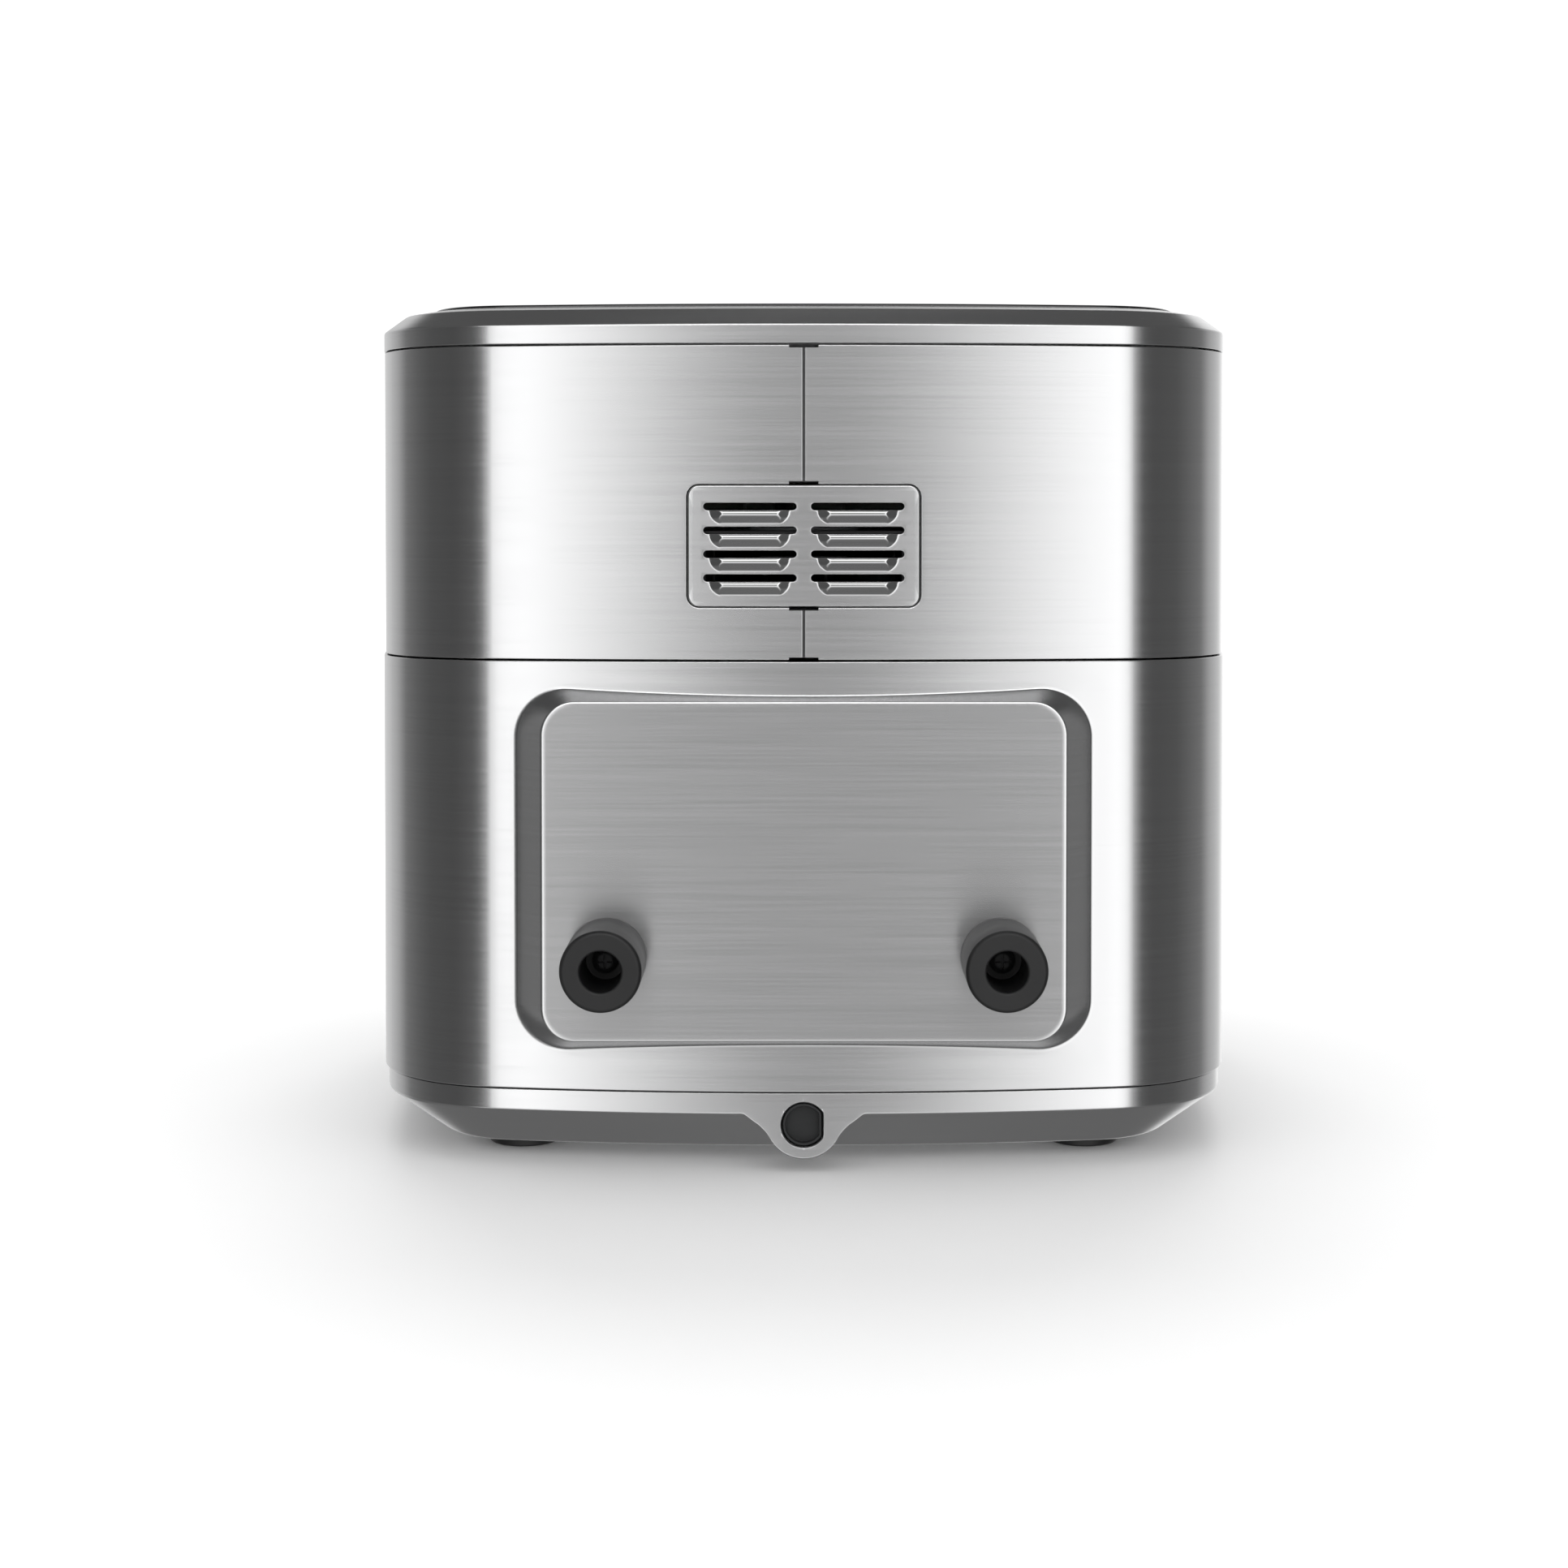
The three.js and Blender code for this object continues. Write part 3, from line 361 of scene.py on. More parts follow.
def plate(outer, margin, place, depth, edge, holes=(), hole_edge=0.4, step=3.0, back=None, back_edge=0.3):
    """Closed plate. place(u, v, depth) gives a point of it; each hole is (Rounded, margin). back(u, v)
    puts a point of the hidden side somewhere else than straight behind the face."""
    cuts_u, cuts_v = [outer.u0 + margin, outer.u1 - margin], [outer.v0 + margin, outer.v1 - margin]
    for shape, room in holes:
        cuts_u += [shape.u0 - room, shape.u1 + room]
        cuts_v += [shape.v0 - room, shape.v1 + room]
    us, vs = filled(cuts_u, step), filled(cuts_v, step)
    under = back or (lambda u, v: place(u, v, depth))
    spans = [(*cells(us, shape.u0 - room, shape.u1 + room), *cells(vs, shape.v0 - room, shape.v1 + room))
             for shape, room in holes]
    s = Surface()
    for j in range(len(vs) - 1):
        for i in range(len(us) - 1):
            if any(i0 <= i < i1 and j0 <= j < j1 for i0, i1, j0, j1 in spans):
                continue
            corners = [(us[i], vs[j]), (us[i + 1], vs[j]), (us[i + 1], vs[j + 1]), (us[i], vs[j + 1])]
            s.face(*[place(u, v, 0.0) for u, v in corners])
            s.face(*[under(u, v) for u, v in corners])
    spots, codes = boundary_codes(outer, us, vs, (0, len(us) - 1, 0, len(vs) - 1))
    rings = [[place(u, v, 0.0) for u, v in spots]]
    for grow, sunk in rolled(depth - back_edge, edge)[:-1]:
        rings.append([place(*outer.at(c, -grow), sunk) for c in codes])
    if not back:
        rings.append([place(*outer.at(c), depth - back_edge) for c in codes])
    rings.append([under(*outer.at(c, -back_edge)) for c in codes])
    rings.append([under(u, v) for u, v in spots])
    s.loft(rings)
    for (shape, _), span in zip(holes, spans):
        spots, codes = boundary_codes(shape, us, vs, span)
        rings = [[place(u, v, 0.0) for u, v in spots]]
        for grow, sunk in rolled(depth, hole_edge)[:-1]:
            rings.append([place(*shape.at(c, grow), sunk) for c in codes])
        rings.append([under(*shape.at(c)) for c in codes])
        rings.append([under(u, v) for u, v in spots])
        s.loft(rings)
    return s


def cells(values, low, high):
    """Indices of the grid lines nearest to low and high."""
    return tuple(min(range(len(values)), key=lambda i: abs(values[i] - x)) for x in (low, high))


def shell(low, high, inset, wall, edge, holes=(), pads=(), groove=None, step_s=3.0, step_v=4.0):
    """Closed wall with the body's plan between two heights. Each hole is (Rounded in s and z, margin,
    edge); each pad is (Rounded in s and z, function giving its rings for a list of codes)."""
    start = -QUARTER / 2
    cuts_s, cuts_v = [start, start + PERIMETER], [low + edge, high - edge]
    for shape, room in [(h[0], h[1]) for h in holes] + [(p[0], 0.0) for p in pads]:
        cuts_s += [shape.u0 - room, shape.u1 + room]
        cuts_v += [shape.v0 - room, shape.v1 + room]
    if groove:
        cuts_s += [side * x for side in (-1, 1) for x in GROOVE_COLUMNS]
    us, vs = filled(cuts_s, step_s)[:-1], filled(cuts_v, step_v)
    n = len(us)

    def place(u, v, depth):
        x, y = outline(u, inset + (max(depth, groove(u)) if groove else depth))
        return x, y, v

    def row(v, depth):
        return [place(u, v, depth) for u in us]

    s = Surface()
    outer, inner = [row(v, 0.0) for v in vs], [row(v, wall) for v in vs]
    hole_spans = [(*cells(us, h.u0 - m, h.u1 + m), *cells(vs, h.v0 - m, h.v1 + m)) for h, m, _ in holes]
    pad_spans = [(*cells(us, p.u0, p.u1), *cells(vs, p.v0, p.v1)) for p, _ in pads]

    def taken(spans, i, j):
        return any(i0 <= i < i1 and j0 <= j < j1 for i0, i1, j0, j1 in spans)

    for j in range(len(vs) - 1):
        for i in range(n):
            k = (i + 1) % n
            if not taken([*hole_spans, *pad_spans], i, j):
                s.face(outer[j][i], outer[j][k], outer[j + 1][k], outer[j + 1][i])
            if not taken(hole_spans, i, j):
                s.face(inner[j][i], inner[j][k], inner[j + 1][k], inner[j + 1][i])
    for v, sign in ((vs[-1], 1), (vs[0], -1)):
        rings = [row(v, 0.0)]
        for t in range(1, EDGE_STEPS + 1):
            a = math.pi / 2 * t / EDGE_STEPS
            rings.append(row(v + sign * edge * math.sin(a), edge * (1 - math.cos(a))))
        s.loft([*rings, row(v + sign * edge, wall), row(v, wall)])
    for (shape, _, roll), span in zip(holes, hole_spans):
        spots, codes = boundary_codes(shape, us, vs, span)
        rings = [[place(u, v, 0.0) for u, v in spots]]
        for grow, depth in rolled(wall, roll):
            rings.append([place(*shape.at(c, grow), depth) for c in codes])
        s.loft([*rings, [place(u, v, wall) for u, v in spots]])
    for (shape, rings_for), span in zip(pads, pad_spans):
        spots, codes = boundary_codes(shape, us, vs, span)
        s.loft([[place(u, v, 0.0) for u, v in spots], *rings_for(codes)], cap_last=True)
    return s


def around(step, extra=()):
    """Arc lengths once round the plan."""
    return filled([-QUARTER / 2, -QUARTER / 2 + PERIMETER, *extra], step)[:-1]


def plan_rings(us, profile):
    """A ring with the body's plan for each [inset, z] of a profile."""
    return [[(*outline(u, inset), z) for u in us] for inset, z in profile]


def sweep(profile, step):
    """Closed ring with the body's plan from a closed [inset, z] profile."""
    rings = plan_rings(around(step), profile)
    s = Surface()
    s.loft([*rings, rings[0]])
    return s


def bezier(a, b, c, steps=5):
    """Points of a quadratic curve from a to c, pulled towards b."""
    a, b, c = (np.array(p, float) for p in (a, b, c))
    return [tuple((1 - t) ** 2 * a + 2 * t * (1 - t) * b + t * t * c) for t in np.linspace(0, 1, steps + 1)]


# ---------- materials
def node(tree, kind, inputs=None, **props):
    """Adds a shader node. inputs maps socket names or places to values or to other sockets."""
    made = tree.nodes.new("ShaderNode" + kind)
    for key, value in props.items():
        setattr(made, key, value)
    for key, value in (inputs or {}).items():
        if isinstance(value, bpy.types.NodeSocket):
            tree.links.new(value, made.inputs[key])
        else:
            made.inputs[key].default_value = value
    return made


def math_node(tree, operation, a, b=0.0):
    return node(tree, "Math", {0: a, 1: b}, operation=operation).outputs[0]


def stepped(tree, value, low, high, to_low=0.0, to_high=1.0):
    inputs = {"Value": value, "From Min": low, "From Max": high, "To Min": to_low, "To Max": to_high}
    return node(tree, "MapRange", inputs, interpolation_type="SMOOTHSTEP").outputs[0]


def ramp(tree, value, stops):
    made = node(tree, "ValToRGB", {"Fac": value})
    elements = made.color_ramp.elements
    while len(elements) < len(stops):
        elements.new(0.5)
    for element, (place, colour) in zip(elements, stops):
        element.position = place
        element.color = (*colour, 1) if isinstance(colour, tuple) else (colour, colour, colour, 1)
    return made.outputs[0]


def finish_of(name):
    """New material with its Principled shader, its tree and object coordinates."""
    material = bpy.data.materials.new(name)
    material.use_nodes = True
    tree = material.node_tree
    shader = next(n for n in tree.nodes if n.type == "BSDF_PRINCIPLED")
    return material, tree, shader, node(tree, "TexCoord").outputs["Object"]


def noise(tree, coords, scale, detail=3.0, stretch=None):
    if stretch:
        coords = node(tree, "Mapping", {"Vector": coords, "Scale": stretch}).outputs[0]
    return node(tree, "TexNoise", {"Vector": coords, "Scale": scale, "Detail": detail}).outputs[0]


def bumped(tree, shader, height, strength, distance):
    made = node(tree, "Bump", {"Height": height, "Strength": strength, "Distance": distance})
    tree.links.new(made.outputs[0], shader.inputs["Normal"])


WORN_TURN = 0.12  # turn of the surface, as 1 minus a cosine, at which an edge is fully rubbed


def worn_edges(tree, width):
    """0 on faces, rising where the surface turns sharply, for rubbed edges."""
    soft = node(tree, "Bevel", {"Radius": width}, samples=4)
    normal = node(tree, "NewGeometry").outputs["Normal"]
    bend = node(tree, "VectorMath", {0: soft.outputs[0], 1: normal}, operation="DOT_PRODUCT")
    away = math_node(tree, "SUBTRACT", 1.0, bend.outputs["Value"])
    return stepped(tree, away, 0.0, WORN_TURN)


def blend(tree, a, b, share):
    """Sum of two patterns, with the given share of the first."""
    parts = math_node(tree, "MULTIPLY", a, share), math_node(tree, "MULTIPLY", b, 1 - share)
    return math_node(tree, "ADD", *parts)


def uneven_gloss(tree, pattern, rough, fall, rise):
    """Roughness that follows a pattern from rough - fall to rough + rise."""
    inputs = {"Value": pattern, "From Min": 0.3, "From Max": 0.7, "To Min": rough - fall, "To Max": rough + rise}
    return node(tree, "MapRange", inputs).outputs[0]


STREAKS = ((16, 16, 1500), (6, 6, 260))  # stretch of the fine and of the broad streaks
FINE_SHARE = 0.65
PRESSED_SHARE = 0.62  # share of the roughness that pressing takes away
ANISOTROPY = 0.85
WORN_WIDTH = 0.0006  # metres


def brushed_steel(name, base, rough):
    """Steel brushed along the UV map Brush, which each piece of it needs. The vertex value Pressed, where a
    piece has one, smooths it."""
    material, tree, shader, coords = finish_of(name)
    fine = noise(tree, coords, 1.0, 4.0, STREAKS[0])
    broad = noise(tree, coords, 1.0, 2.0, STREAKS[1])
    streaks = blend(tree, fine, broad, FINE_SHARE)
    tint = (base, base * 1.002, base * 1.008)
    dark = tuple(0.97 * c for c in tint)
    light = tuple(min(1.0, 1.015 * c) for c in tint)
    colour = ramp(tree, streaks, [(0.3, dark), (0.5, tint), (0.7, light)])
    tree.links.new(colour, shader.inputs["Base Color"])
    roughness = uneven_gloss(tree, streaks, rough, fall=0.028, rise=0.04)
    pressed = node(tree, "Attribute", attribute_name="Pressed").outputs["Fac"]
    keep = math_node(tree, "SUBTRACT", 1.0, math_node(tree, "MULTIPLY", pressed, PRESSED_SHARE))
    tree.links.new(math_node(tree, "MULTIPLY", roughness, keep), shader.inputs["Roughness"])
    shader.inputs["Metallic"].default_value = 1.0
    shader.inputs["Anisotropic"].default_value = ANISOTROPY
    tangent = node(tree, "Tangent", direction_type="UV_MAP", uv_map="Brush").outputs[0]
    tree.links.new(tangent, shader.inputs["Tangent"])
    bumped(tree, shader, fine, 0.1, 0.00003)
    return material


def moulded(name, colour, rough, grain=900.0, depth=0.00012, strength=0.35, wear=0.25, coat=0.0,
            specular=0.5, uneven=1.0):
    """Moulded plastic or rubber: fine grain, uneven gloss and slightly rubbed edges."""
    material, tree, shader, coords = finish_of(name)
    fine = noise(tree, coords, grain, 3.0)
    broad = noise(tree, coords, 45.0, 3.0)
    dark = tuple(0.82 * c for c in colour)
    light = tuple(min(1.0, 1.15 * c + 0.004) for c in colour)
    body = ramp(tree, broad, [(0.32, dark), (0.68, light)])
    rubbed = math_node(tree, "MULTIPLY", worn_edges(tree, WORN_WIDTH), wear)
    pale = tuple(min(1.0, 1.6 * c + 0.03) for c in colour)
    mixed = node(tree, "Mix", {"Factor": rubbed, 6: body, 7: (*pale, 1)}, data_type="RGBA")
    tree.links.new(mixed.outputs[2], shader.inputs["Base Color"])
    roughness = uneven_gloss(tree, broad, rough, fall=0.06 * uneven, rise=0.07 * uneven)
    tree.links.new(roughness, shader.inputs["Roughness"])
    shader.inputs["Coat Weight"].default_value = coat
    shader.inputs["Specular IOR Level"].default_value = specular
    shader.inputs["Coat Roughness"].default_value = 0.06
    bumped(tree, shader, fine, strength, depth)
    return material


def plain_metal(name, colour, rough, grain=(300, 300, 300), metallic=1.0, spangle=0.0):
    """Unbrushed metal: clouded colour and gloss, small bump; spangle adds the crystals of galvanising."""
    material, tree, shader, coords = finish_of(name)
    cloud = noise(tree, coords, 1.0, 3.0, grain)
    if spangle:
        cells_of = node(tree, "TexVoronoi", {"Vector": coords, "Scale": 110.0}).outputs["Color"]
        grey = node(tree, "RGBToBW", {0: cells_of}).outputs[0]
        cloud = blend(tree, grey, cloud, spangle)
    dark = tuple(0.8 * c for c in colour)
    tree.links.new(ramp(tree, cloud, [(0.3, dark), (0.7, colour)]), shader.inputs["Base Color"])
    roughness = uneven_gloss(tree, cloud, rough, fall=0.04, rise=0.06)
    tree.links.new(roughness, shader.inputs["Roughness"])
    shader.inputs["Metallic"].default_value = metallic
    bumped(tree, shader, cloud, 0.2, 0.00015)
    return material


MOULDED = {  # colour, roughness, then grain, its depth and strength, wear, coat and specular
    "black_plastic": ((0.018, 0.018, 0.019), 0.42),
    "rubber": ((0.008, 0.008, 0.0085), 0.5, 1400, 0.00008, 0.4),
    "grey_plastic": ((0.03, 0.031, 0.032), 0.6, 900, 0.00012, 0.35, 0.25, 0.0, 0.25),
    "nonstick_coating": ((0.026, 0.027, 0.03), 0.36, 1900, 0.00012, 0.4, 0.12),
    "silicone": ((0.05, 0.052, 0.055), 0.6, 1100, 0.00006),
    "white_plastic": ((0.72, 0.71, 0.67), 0.4, 1000, 0.00005),
    "lamp_lens": ((0.75, 0.22, 0.02), 0.12, 300, 0.00002, 0.05, 0.0, 1.0),
}
METALS = {  # colour, roughness, then stretch of the clouding, metallic and spangle
    "galvanised_sheet": ((0.42, 0.435, 0.45), 0.42, (60, 60, 60), 0.95, 0.45),
    "bright_steel": ((0.7, 0.705, 0.715), 0.2),
    "element_sheath": ((0.17, 0.165, 0.16), 0.42, (500, 500, 500)),
    "motor_casting": ((0.46, 0.47, 0.48), 0.45, (900, 900, 900)),
    # Near-black steel: the stand-off screws' own finish, and painted shade on the exhaust duct behind the louvre
    # slots.
    "blackened_steel": ((0.05, 0.05, 0.052), 0.5, (400, 400, 400), 0.6),
}
SLOTS = {
    "brushed_steel": brushed_steel("brushed_steel", 0.64, 0.21),
    "black_panel": moulded("gloss_panel", (0.012, 0.012, 0.013), 0.22, 500, 0.00002, 0.1, 0.1, 0.7, uneven=0.2),
    **{slot: moulded(slot, *says) for slot, says in MOULDED.items()},
    **{slot: plain_metal(slot, *says) for slot, says in METALS.items()},
}

NORMAL_WEIGHT = 60


def put(obj, body, slot, *stands_for, brushed=None, sharp=42, weighted=True):
    """Gives one finished piece its material, its shading and its place in the frame."""
    mesh = obj.data
    mesh.materials.clear()
    mesh.materials.append(SLOTS[slot])
    mesh.polygons.foreach_set("use_smooth", [True] * len(mesh.polygons))
    mesh.set_sharp_from_angle(angle=math.radians(sharp))
    if brushed is not None:
        brush_map(obj, brushed)
    if weighted:
        normal = obj.modifiers.new("Normals", "WEIGHTED_NORMAL")
        normal.keep_sharp = True
        normal.weight = NORMAL_WEIGHT
    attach(obj, body)
    if stands_for:
        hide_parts(*stands_for)
    return obj


# ---------- levels shared with the CAD
WALL = 2.0
BASE_EDGE, BASE_INSET = 19.6, 1.2
BASE_BOTTOM, BASE_BOTTOM_INSET = 4.0, 22.0
LOWER = (27.25, 170.75)
UPPER, UPPER_INSET = (171.25, 275.75), 0.6
SLIT_HALF, SLIT_DEPTH, SLIT_LIP = 0.23, 1.7, 0.5
LIP_COLUMNS = (SLIT_HALF + SLIT_LIP * t for t in (0.06, 0.2, 0.4, 0.65, 1.0))
GROOVE_COLUMNS = (SLIT_HALF - 0.001, SLIT_HALF, *LIP_COLUMNS)
FRONT_S = PERIMETER / 2

# ---------- lower shell with the rear pad
PAD_FACE_Y, PAD_HALF, PAD_LOW, PAD_HIGH, PAD_R = 158.6, 86.9, 45.0, 157.5, 11.0
PAD_SIDE_SLOPE, PAD_END_SLOPE = 0.87, 0.5
PAD_EDGE = 1.8  # reach of the curve round the pad's face, measured along it
PAD_FOOT = 1.3  # reach of the curve at the pad's foot, measured along the shell


def pad_outline(depth):
    side, end = PAD_HALF + PAD_SIDE_SLOPE * depth, PAD_END_SLOPE * depth
    radius = PAD_R + (PAD_SIDE_SLOPE + PAD_END_SLOPE) * 0.45 * depth
    return Rounded(-side, PAD_LOW - end, side, PAD_HIGH + end, radius)


def pad_point(code, depth, grow=0.0):
    x, z = pad_outline(depth).at(code, grow)
    return x, PAD_FACE_Y - depth, z


def pad_rings(codes):
    """Rings of the pad from the shell to its face: foot curve, slope, edge curve, then the flat face."""
    columns = []
    for c in codes:
        depth = 5.0
        for _ in range(8):
            depth = PAD_FACE_Y - rear_y(pad_point(c, depth)[0])
        foot = pad_point(c, depth)
        x, _, z = pad_point(c, depth, PAD_FOOT)
        slope_end = 0.4
        column = bezier((x, rear_y(x), z), foot, pad_point(c, depth - 0.35))
        column += [pad_point(c, depth + (slope_end - depth) * t) for t in (0.35, 0.6, 0.8)]
        column += bezier(pad_point(c, slope_end), pad_point(c, 0.0), pad_point(c, 0.0, -PAD_EDGE), 7)
        columns.append(column)
    rings = [list(ring) for ring in zip(*columns)]
    z_mid = (PAD_LOW + PAD_HIGH) / 2
    edge = rings[-1]
    for f in (0.85, 0.6, 0.35, 0.12):
        rings.append([(x * f, y, z_mid + (z - z_mid) * f) for x, y, z in edge])
    return rings


BAY_HALF, BAY_LOW, BAY_HIGH, BAY_R = 120.2, 32.5, 160.2, 10.7
bay_s = s_at(BAY_HALF)
bay = Rounded(FRONT_S - bay_s, BAY_LOW, FRONT_S + bay_s, BAY_HIGH, BAY_R)
pad_room = Rounded(-s_at(99.0), 37.0, s_at(99.0), 164.5, 20.0)
lower = shell(*LOWER, 0.0, WALL, 0.45, holes=[(bay, 4.0, 0.6)], pads=[(pad_room, pad_rings)], step_v=3.5)
put(to_mesh("lower_shell_skin", lower), "housing", "brushed_steel", "lower_shell", brushed=0.0, sharp=50)


# ---------- upper shell, grille and seam
def seam_groove(u):
    """Depth of the joint down the middle of the rear: a narrow slit with rounded lips."""
    off = abs(u) - SLIT_HALF
    if off < -0.0005:
        return SLIT_DEPTH
    rest = max(0.0, SLIT_LIP - off)
    return SLIT_LIP - math.sqrt(SLIT_LIP**2 - rest**2)


GRILLE_HALF, GRILLE_LOW, GRILLE_HIGH, GRILLE_R = 38.6, 189.0, 229.3, 3.7
FASCIA_HALF, FASCIA_LOW, FASCIA_HIGH, FASCIA_R = 80.0, 186.0, 262.0, 10.0
GAP = 0.3
window = Rounded(-GRILLE_HALF - GAP, GRILLE_LOW - GAP, GRILLE_HALF + GAP, GRILLE_HIGH + GAP, GRILLE_R + GAP)
face_s = s_at(FASCIA_HALF + GAP)
face_window = Rounded(FRONT_S - face_s, FASCIA_LOW - GAP, FRONT_S + face_s, FASCIA_HIGH + GAP, FASCIA_R + GAP)
upper = shell(
    *UPPER, UPPER_INSET, WALL, 0.45, holes=[(window, 2.5, 0.5), (face_window, 4.0, 0.5)], groove=seam_groove
)
upper_skin = to_mesh("upper_shell_skin", upper)
NOTCH_HALF, NOTCH_HEIGHT = 4.9, 1.0
notch_lows = (
    UPPER[0] - 0.4, GRILLE_LOW - GAP - NOTCH_HEIGHT, GRILLE_HIGH + GAP - 0.3, UPPER[1] - NOTCH_HEIGHT,
)
cut_with(upper_skin, *[
    box(f"notch_{i}", (-NOTCH_HALF, 148.0, z), (NOTCH_HALF, 158.0, z + NOTCH_HEIGHT + 0.3))
    for i, z in enumerate(notch_lows)
])
put(upper_skin, "housing", "brushed_steel", "upper_shell", brushed=0.0, sharp=40)
joint_y = rear_y(0.0, UPPER_INSET)
joint_runs = [
    (UPPER[0] + 1.0, GRILLE_LOW - GAP - NOTCH_HEIGHT),
    (GRILLE_HIGH + NOTCH_HEIGHT, UPPER[1] - NOTCH_HEIGHT),
]
# Black strips sunk deep in the rear slit between the notches: painted shade for the slit's shadowed bottom.
SHADE_STRIP_HALF, SHADE_STRIP_FRONT, SHADE_STRIP_BACK, SHADE_STRIP_BEVEL = 0.2, 0.45, 1.65, 0.05
for i, (low, high) in enumerate(joint_runs):
    near, far = (-SHADE_STRIP_HALF, joint_y - SHADE_STRIP_BACK, low), (SHADE_STRIP_HALF, joint_y - SHADE_STRIP_FRONT, high)
    put(box(f"slit_shade_strip_{i}", near, far, SHADE_STRIP_BEVEL, 2), "housing", "black_plastic")

SLOT_X, SLOT_HALF, SLOT_HEIGHT, SLOT_TOP, SLOT_PITCH, SLOT_ROWS = 17.9, 15.4, 2.4, 223.4, 7.9, 4
GRILLE_INSET, GRILLE_STEP = 0.4, 0.36
POLISHED_FROM = 0.25  # how far the sheet has to stand out to be fully smoothed
HOOD_TOP_HALF, HOOD_LOW_HALF, HOOD_HEIGHT = 13.6, 8.4, 4.8
HOOD_LIP = [(-1.6, 0.0), (-0.4, 0.9), (0.0, 1.25), (0.3, 1.55), (0.7, 1.83), (1.0, 1.9), (1.4, 1.9)]
HOOD_EDGE = [
    (0.0, 0.0), (0.25, 0.06), (0.55, 0.21), (1.0, 0.47), (1.6, 0.82), (2.2, 1.17), (2.8, 1.52), (3.2, 1.74),
    (3.5, 1.85), (3.8, 1.9),
]


def smooth(value, low, high):
    t = max(0.0, min(1.0, (value - low) / (high - low)))
    return t * t * (3 - 2 * t)


def along(curve, at):
    return float(np.interp(at, [p[0] for p in curve], [p[1] for p in curve]))


def hood(u, v):
    """How far the scoop under a louvre slot stands out of the grille at (u, v)."""
    below = (SLOT_TOP - SLOT_HEIGHT - v) % SLOT_PITCH
    if below > HOOD_HEIGHT + 1.2:
        below -= SLOT_PITCH
    row = round((SLOT_TOP - SLOT_HEIGHT - v - below) / SLOT_PITCH)
    if not 0 <= row < SLOT_ROWS or not -1.6 < below < HOOD_HEIGHT:
        return 0.0
    t = max(0.0, below / HOOD_HEIGHT)
    half = HOOD_LOW_HALF + (HOOD_TOP_HALF - HOOD_LOW_HALF) * math.sqrt(1 - t * t)
    from_end = (half - abs(abs(u) - SLOT_X)) * 0.8
    from_edge = min(from_end, HOOD_HEIGHT - below)
    return min(along(HOOD_LIP, below), along(HOOD_EDGE, from_edge))


def on_grille(u, v, depth):
    x, y = outline(u, GRILLE_INSET + depth - hood(u, v))
    return x, y, v


louvres = []
for side in (-1, 1):
    for row in range(SLOT_ROWS):
        top = SLOT_TOP - row * SLOT_PITCH
        start, end = side * SLOT_X - SLOT_HALF, side * SLOT_X + SLOT_HALF
        louvres.append((Rounded(start, top - SLOT_HEIGHT, end, top, SLOT_HEIGHT / 2 - 0.01), 0.9))
grille_outline = Rounded(-GRILLE_HALF, GRILLE_LOW, GRILLE_HALF, GRILLE_HIGH, GRILLE_R)
grille = to_mesh("vent_plate", plate(grille_outline, 2.0, on_grille, 1.6, 0.6, louvres, 0.3, step=GRILLE_STEP))
vent_plate = put(grille, "housing", "brushed_steel", "vent_grille", brushed=0.0, sharp=55)
polish = vent_plate.data.attributes.new("Pressed", "FLOAT", "POINT")
for vertex in vent_plate.data.vertices:
    proud = hood(vertex.co.x / MM, vertex.co.z / MM)
    polish.data[vertex.index].value = min(1.0, proud / POLISHED_FROM)

# ---------- base with the cord inlet
LUG_R, LUG_Z = 12.9, 17.4
LUG_FLARE = [(11.7, 12.0), (13.0, 13.6), (15.0, 15.6), (17.3, 17.2), (20.0, 19.3), (21.0, BASE_EDGE)]
INLET_Z, INLET_R, INLET_FLAT = 16.0, 7.4, 6.3
BASE_TOP, FLOOR_TOP = 26.75, 6.0


def slope_inset(z):
    """Inset of the base's undercut at height z."""
    return BASE_INSET + (BASE_BOTTOM_INSET - BASE_INSET) * (BASE_EDGE - z) / (BASE_EDGE - BASE_BOTTOM)


def lug_edge(x):
    """Height of the wall's lower edge at x: the undercut's, or the lug's outline round the cord inlet."""
    a = abs(x)
    if a >= LUG_FLARE[-1][0]:
        return BASE_EDGE
    if a <= LUG_FLARE[0][0]:
        return LUG_Z - math.sqrt(LUG_R**2 - a * a)
    return float(np.interp(a, [p[0] for p in LUG_FLARE], [p[1] for p in LUG_FLARE]))


def walk(path, distance):
    """Point of a polyline at a distance from its start."""
    for a, b in zip(path, path[1:]):
        length = math.dist(a, b)
        if distance <= length:
            return tuple(a[k] + (b[k] - a[k]) * distance / length for k in range(2))
        distance -= length
    return path[-1]


def base_column(x, at_rear):
    """(inset, z) pairs from the wall's top, down and under to the flat bottom."""
    edge_z = lug_edge(x) if at_rear else BASE_EDGE
    corner = (BASE_INSET, edge_z)
    under = [corner, (slope_inset(edge_z), edge_z), (BASE_BOTTOM_INSET, BASE_BOTTOM)]
    low = edge_z + 0.8
    column = [(BASE_INSET + 0.4 * (1 - math.cos(a)), BASE_TOP - 0.4 + 0.4 * math.sin(a))
              for a in np.linspace(math.pi / 2, 0, 5)]
    column += [(BASE_INSET, BASE_TOP - 0.4 + (low - BASE_TOP + 0.4) * t) for t in (0.25, 0.5, 0.75)]
    column += bezier((BASE_INSET, low), corner, walk(under, 0.8), 5)
    total = sum(math.dist(a, b) for a, b in zip(under, under[1:]))
    first = math.dist(under[0], under[1])
    column += [walk(under, 0.8 + (first - 0.8) * t) if first > 0.8 else walk(under, 0.8) for t in (0.5, 1.0)]
    begin = max(first, 0.8)
    column += [walk(under, begin + (total - 2.5 - begin) * t) for t in (0.33, 0.66)]
    column += bezier(walk(under, total - 2.5), under[-1], (BASE_BOTTOM_INSET + 2.5, BASE_BOTTOM), 5)
    return column


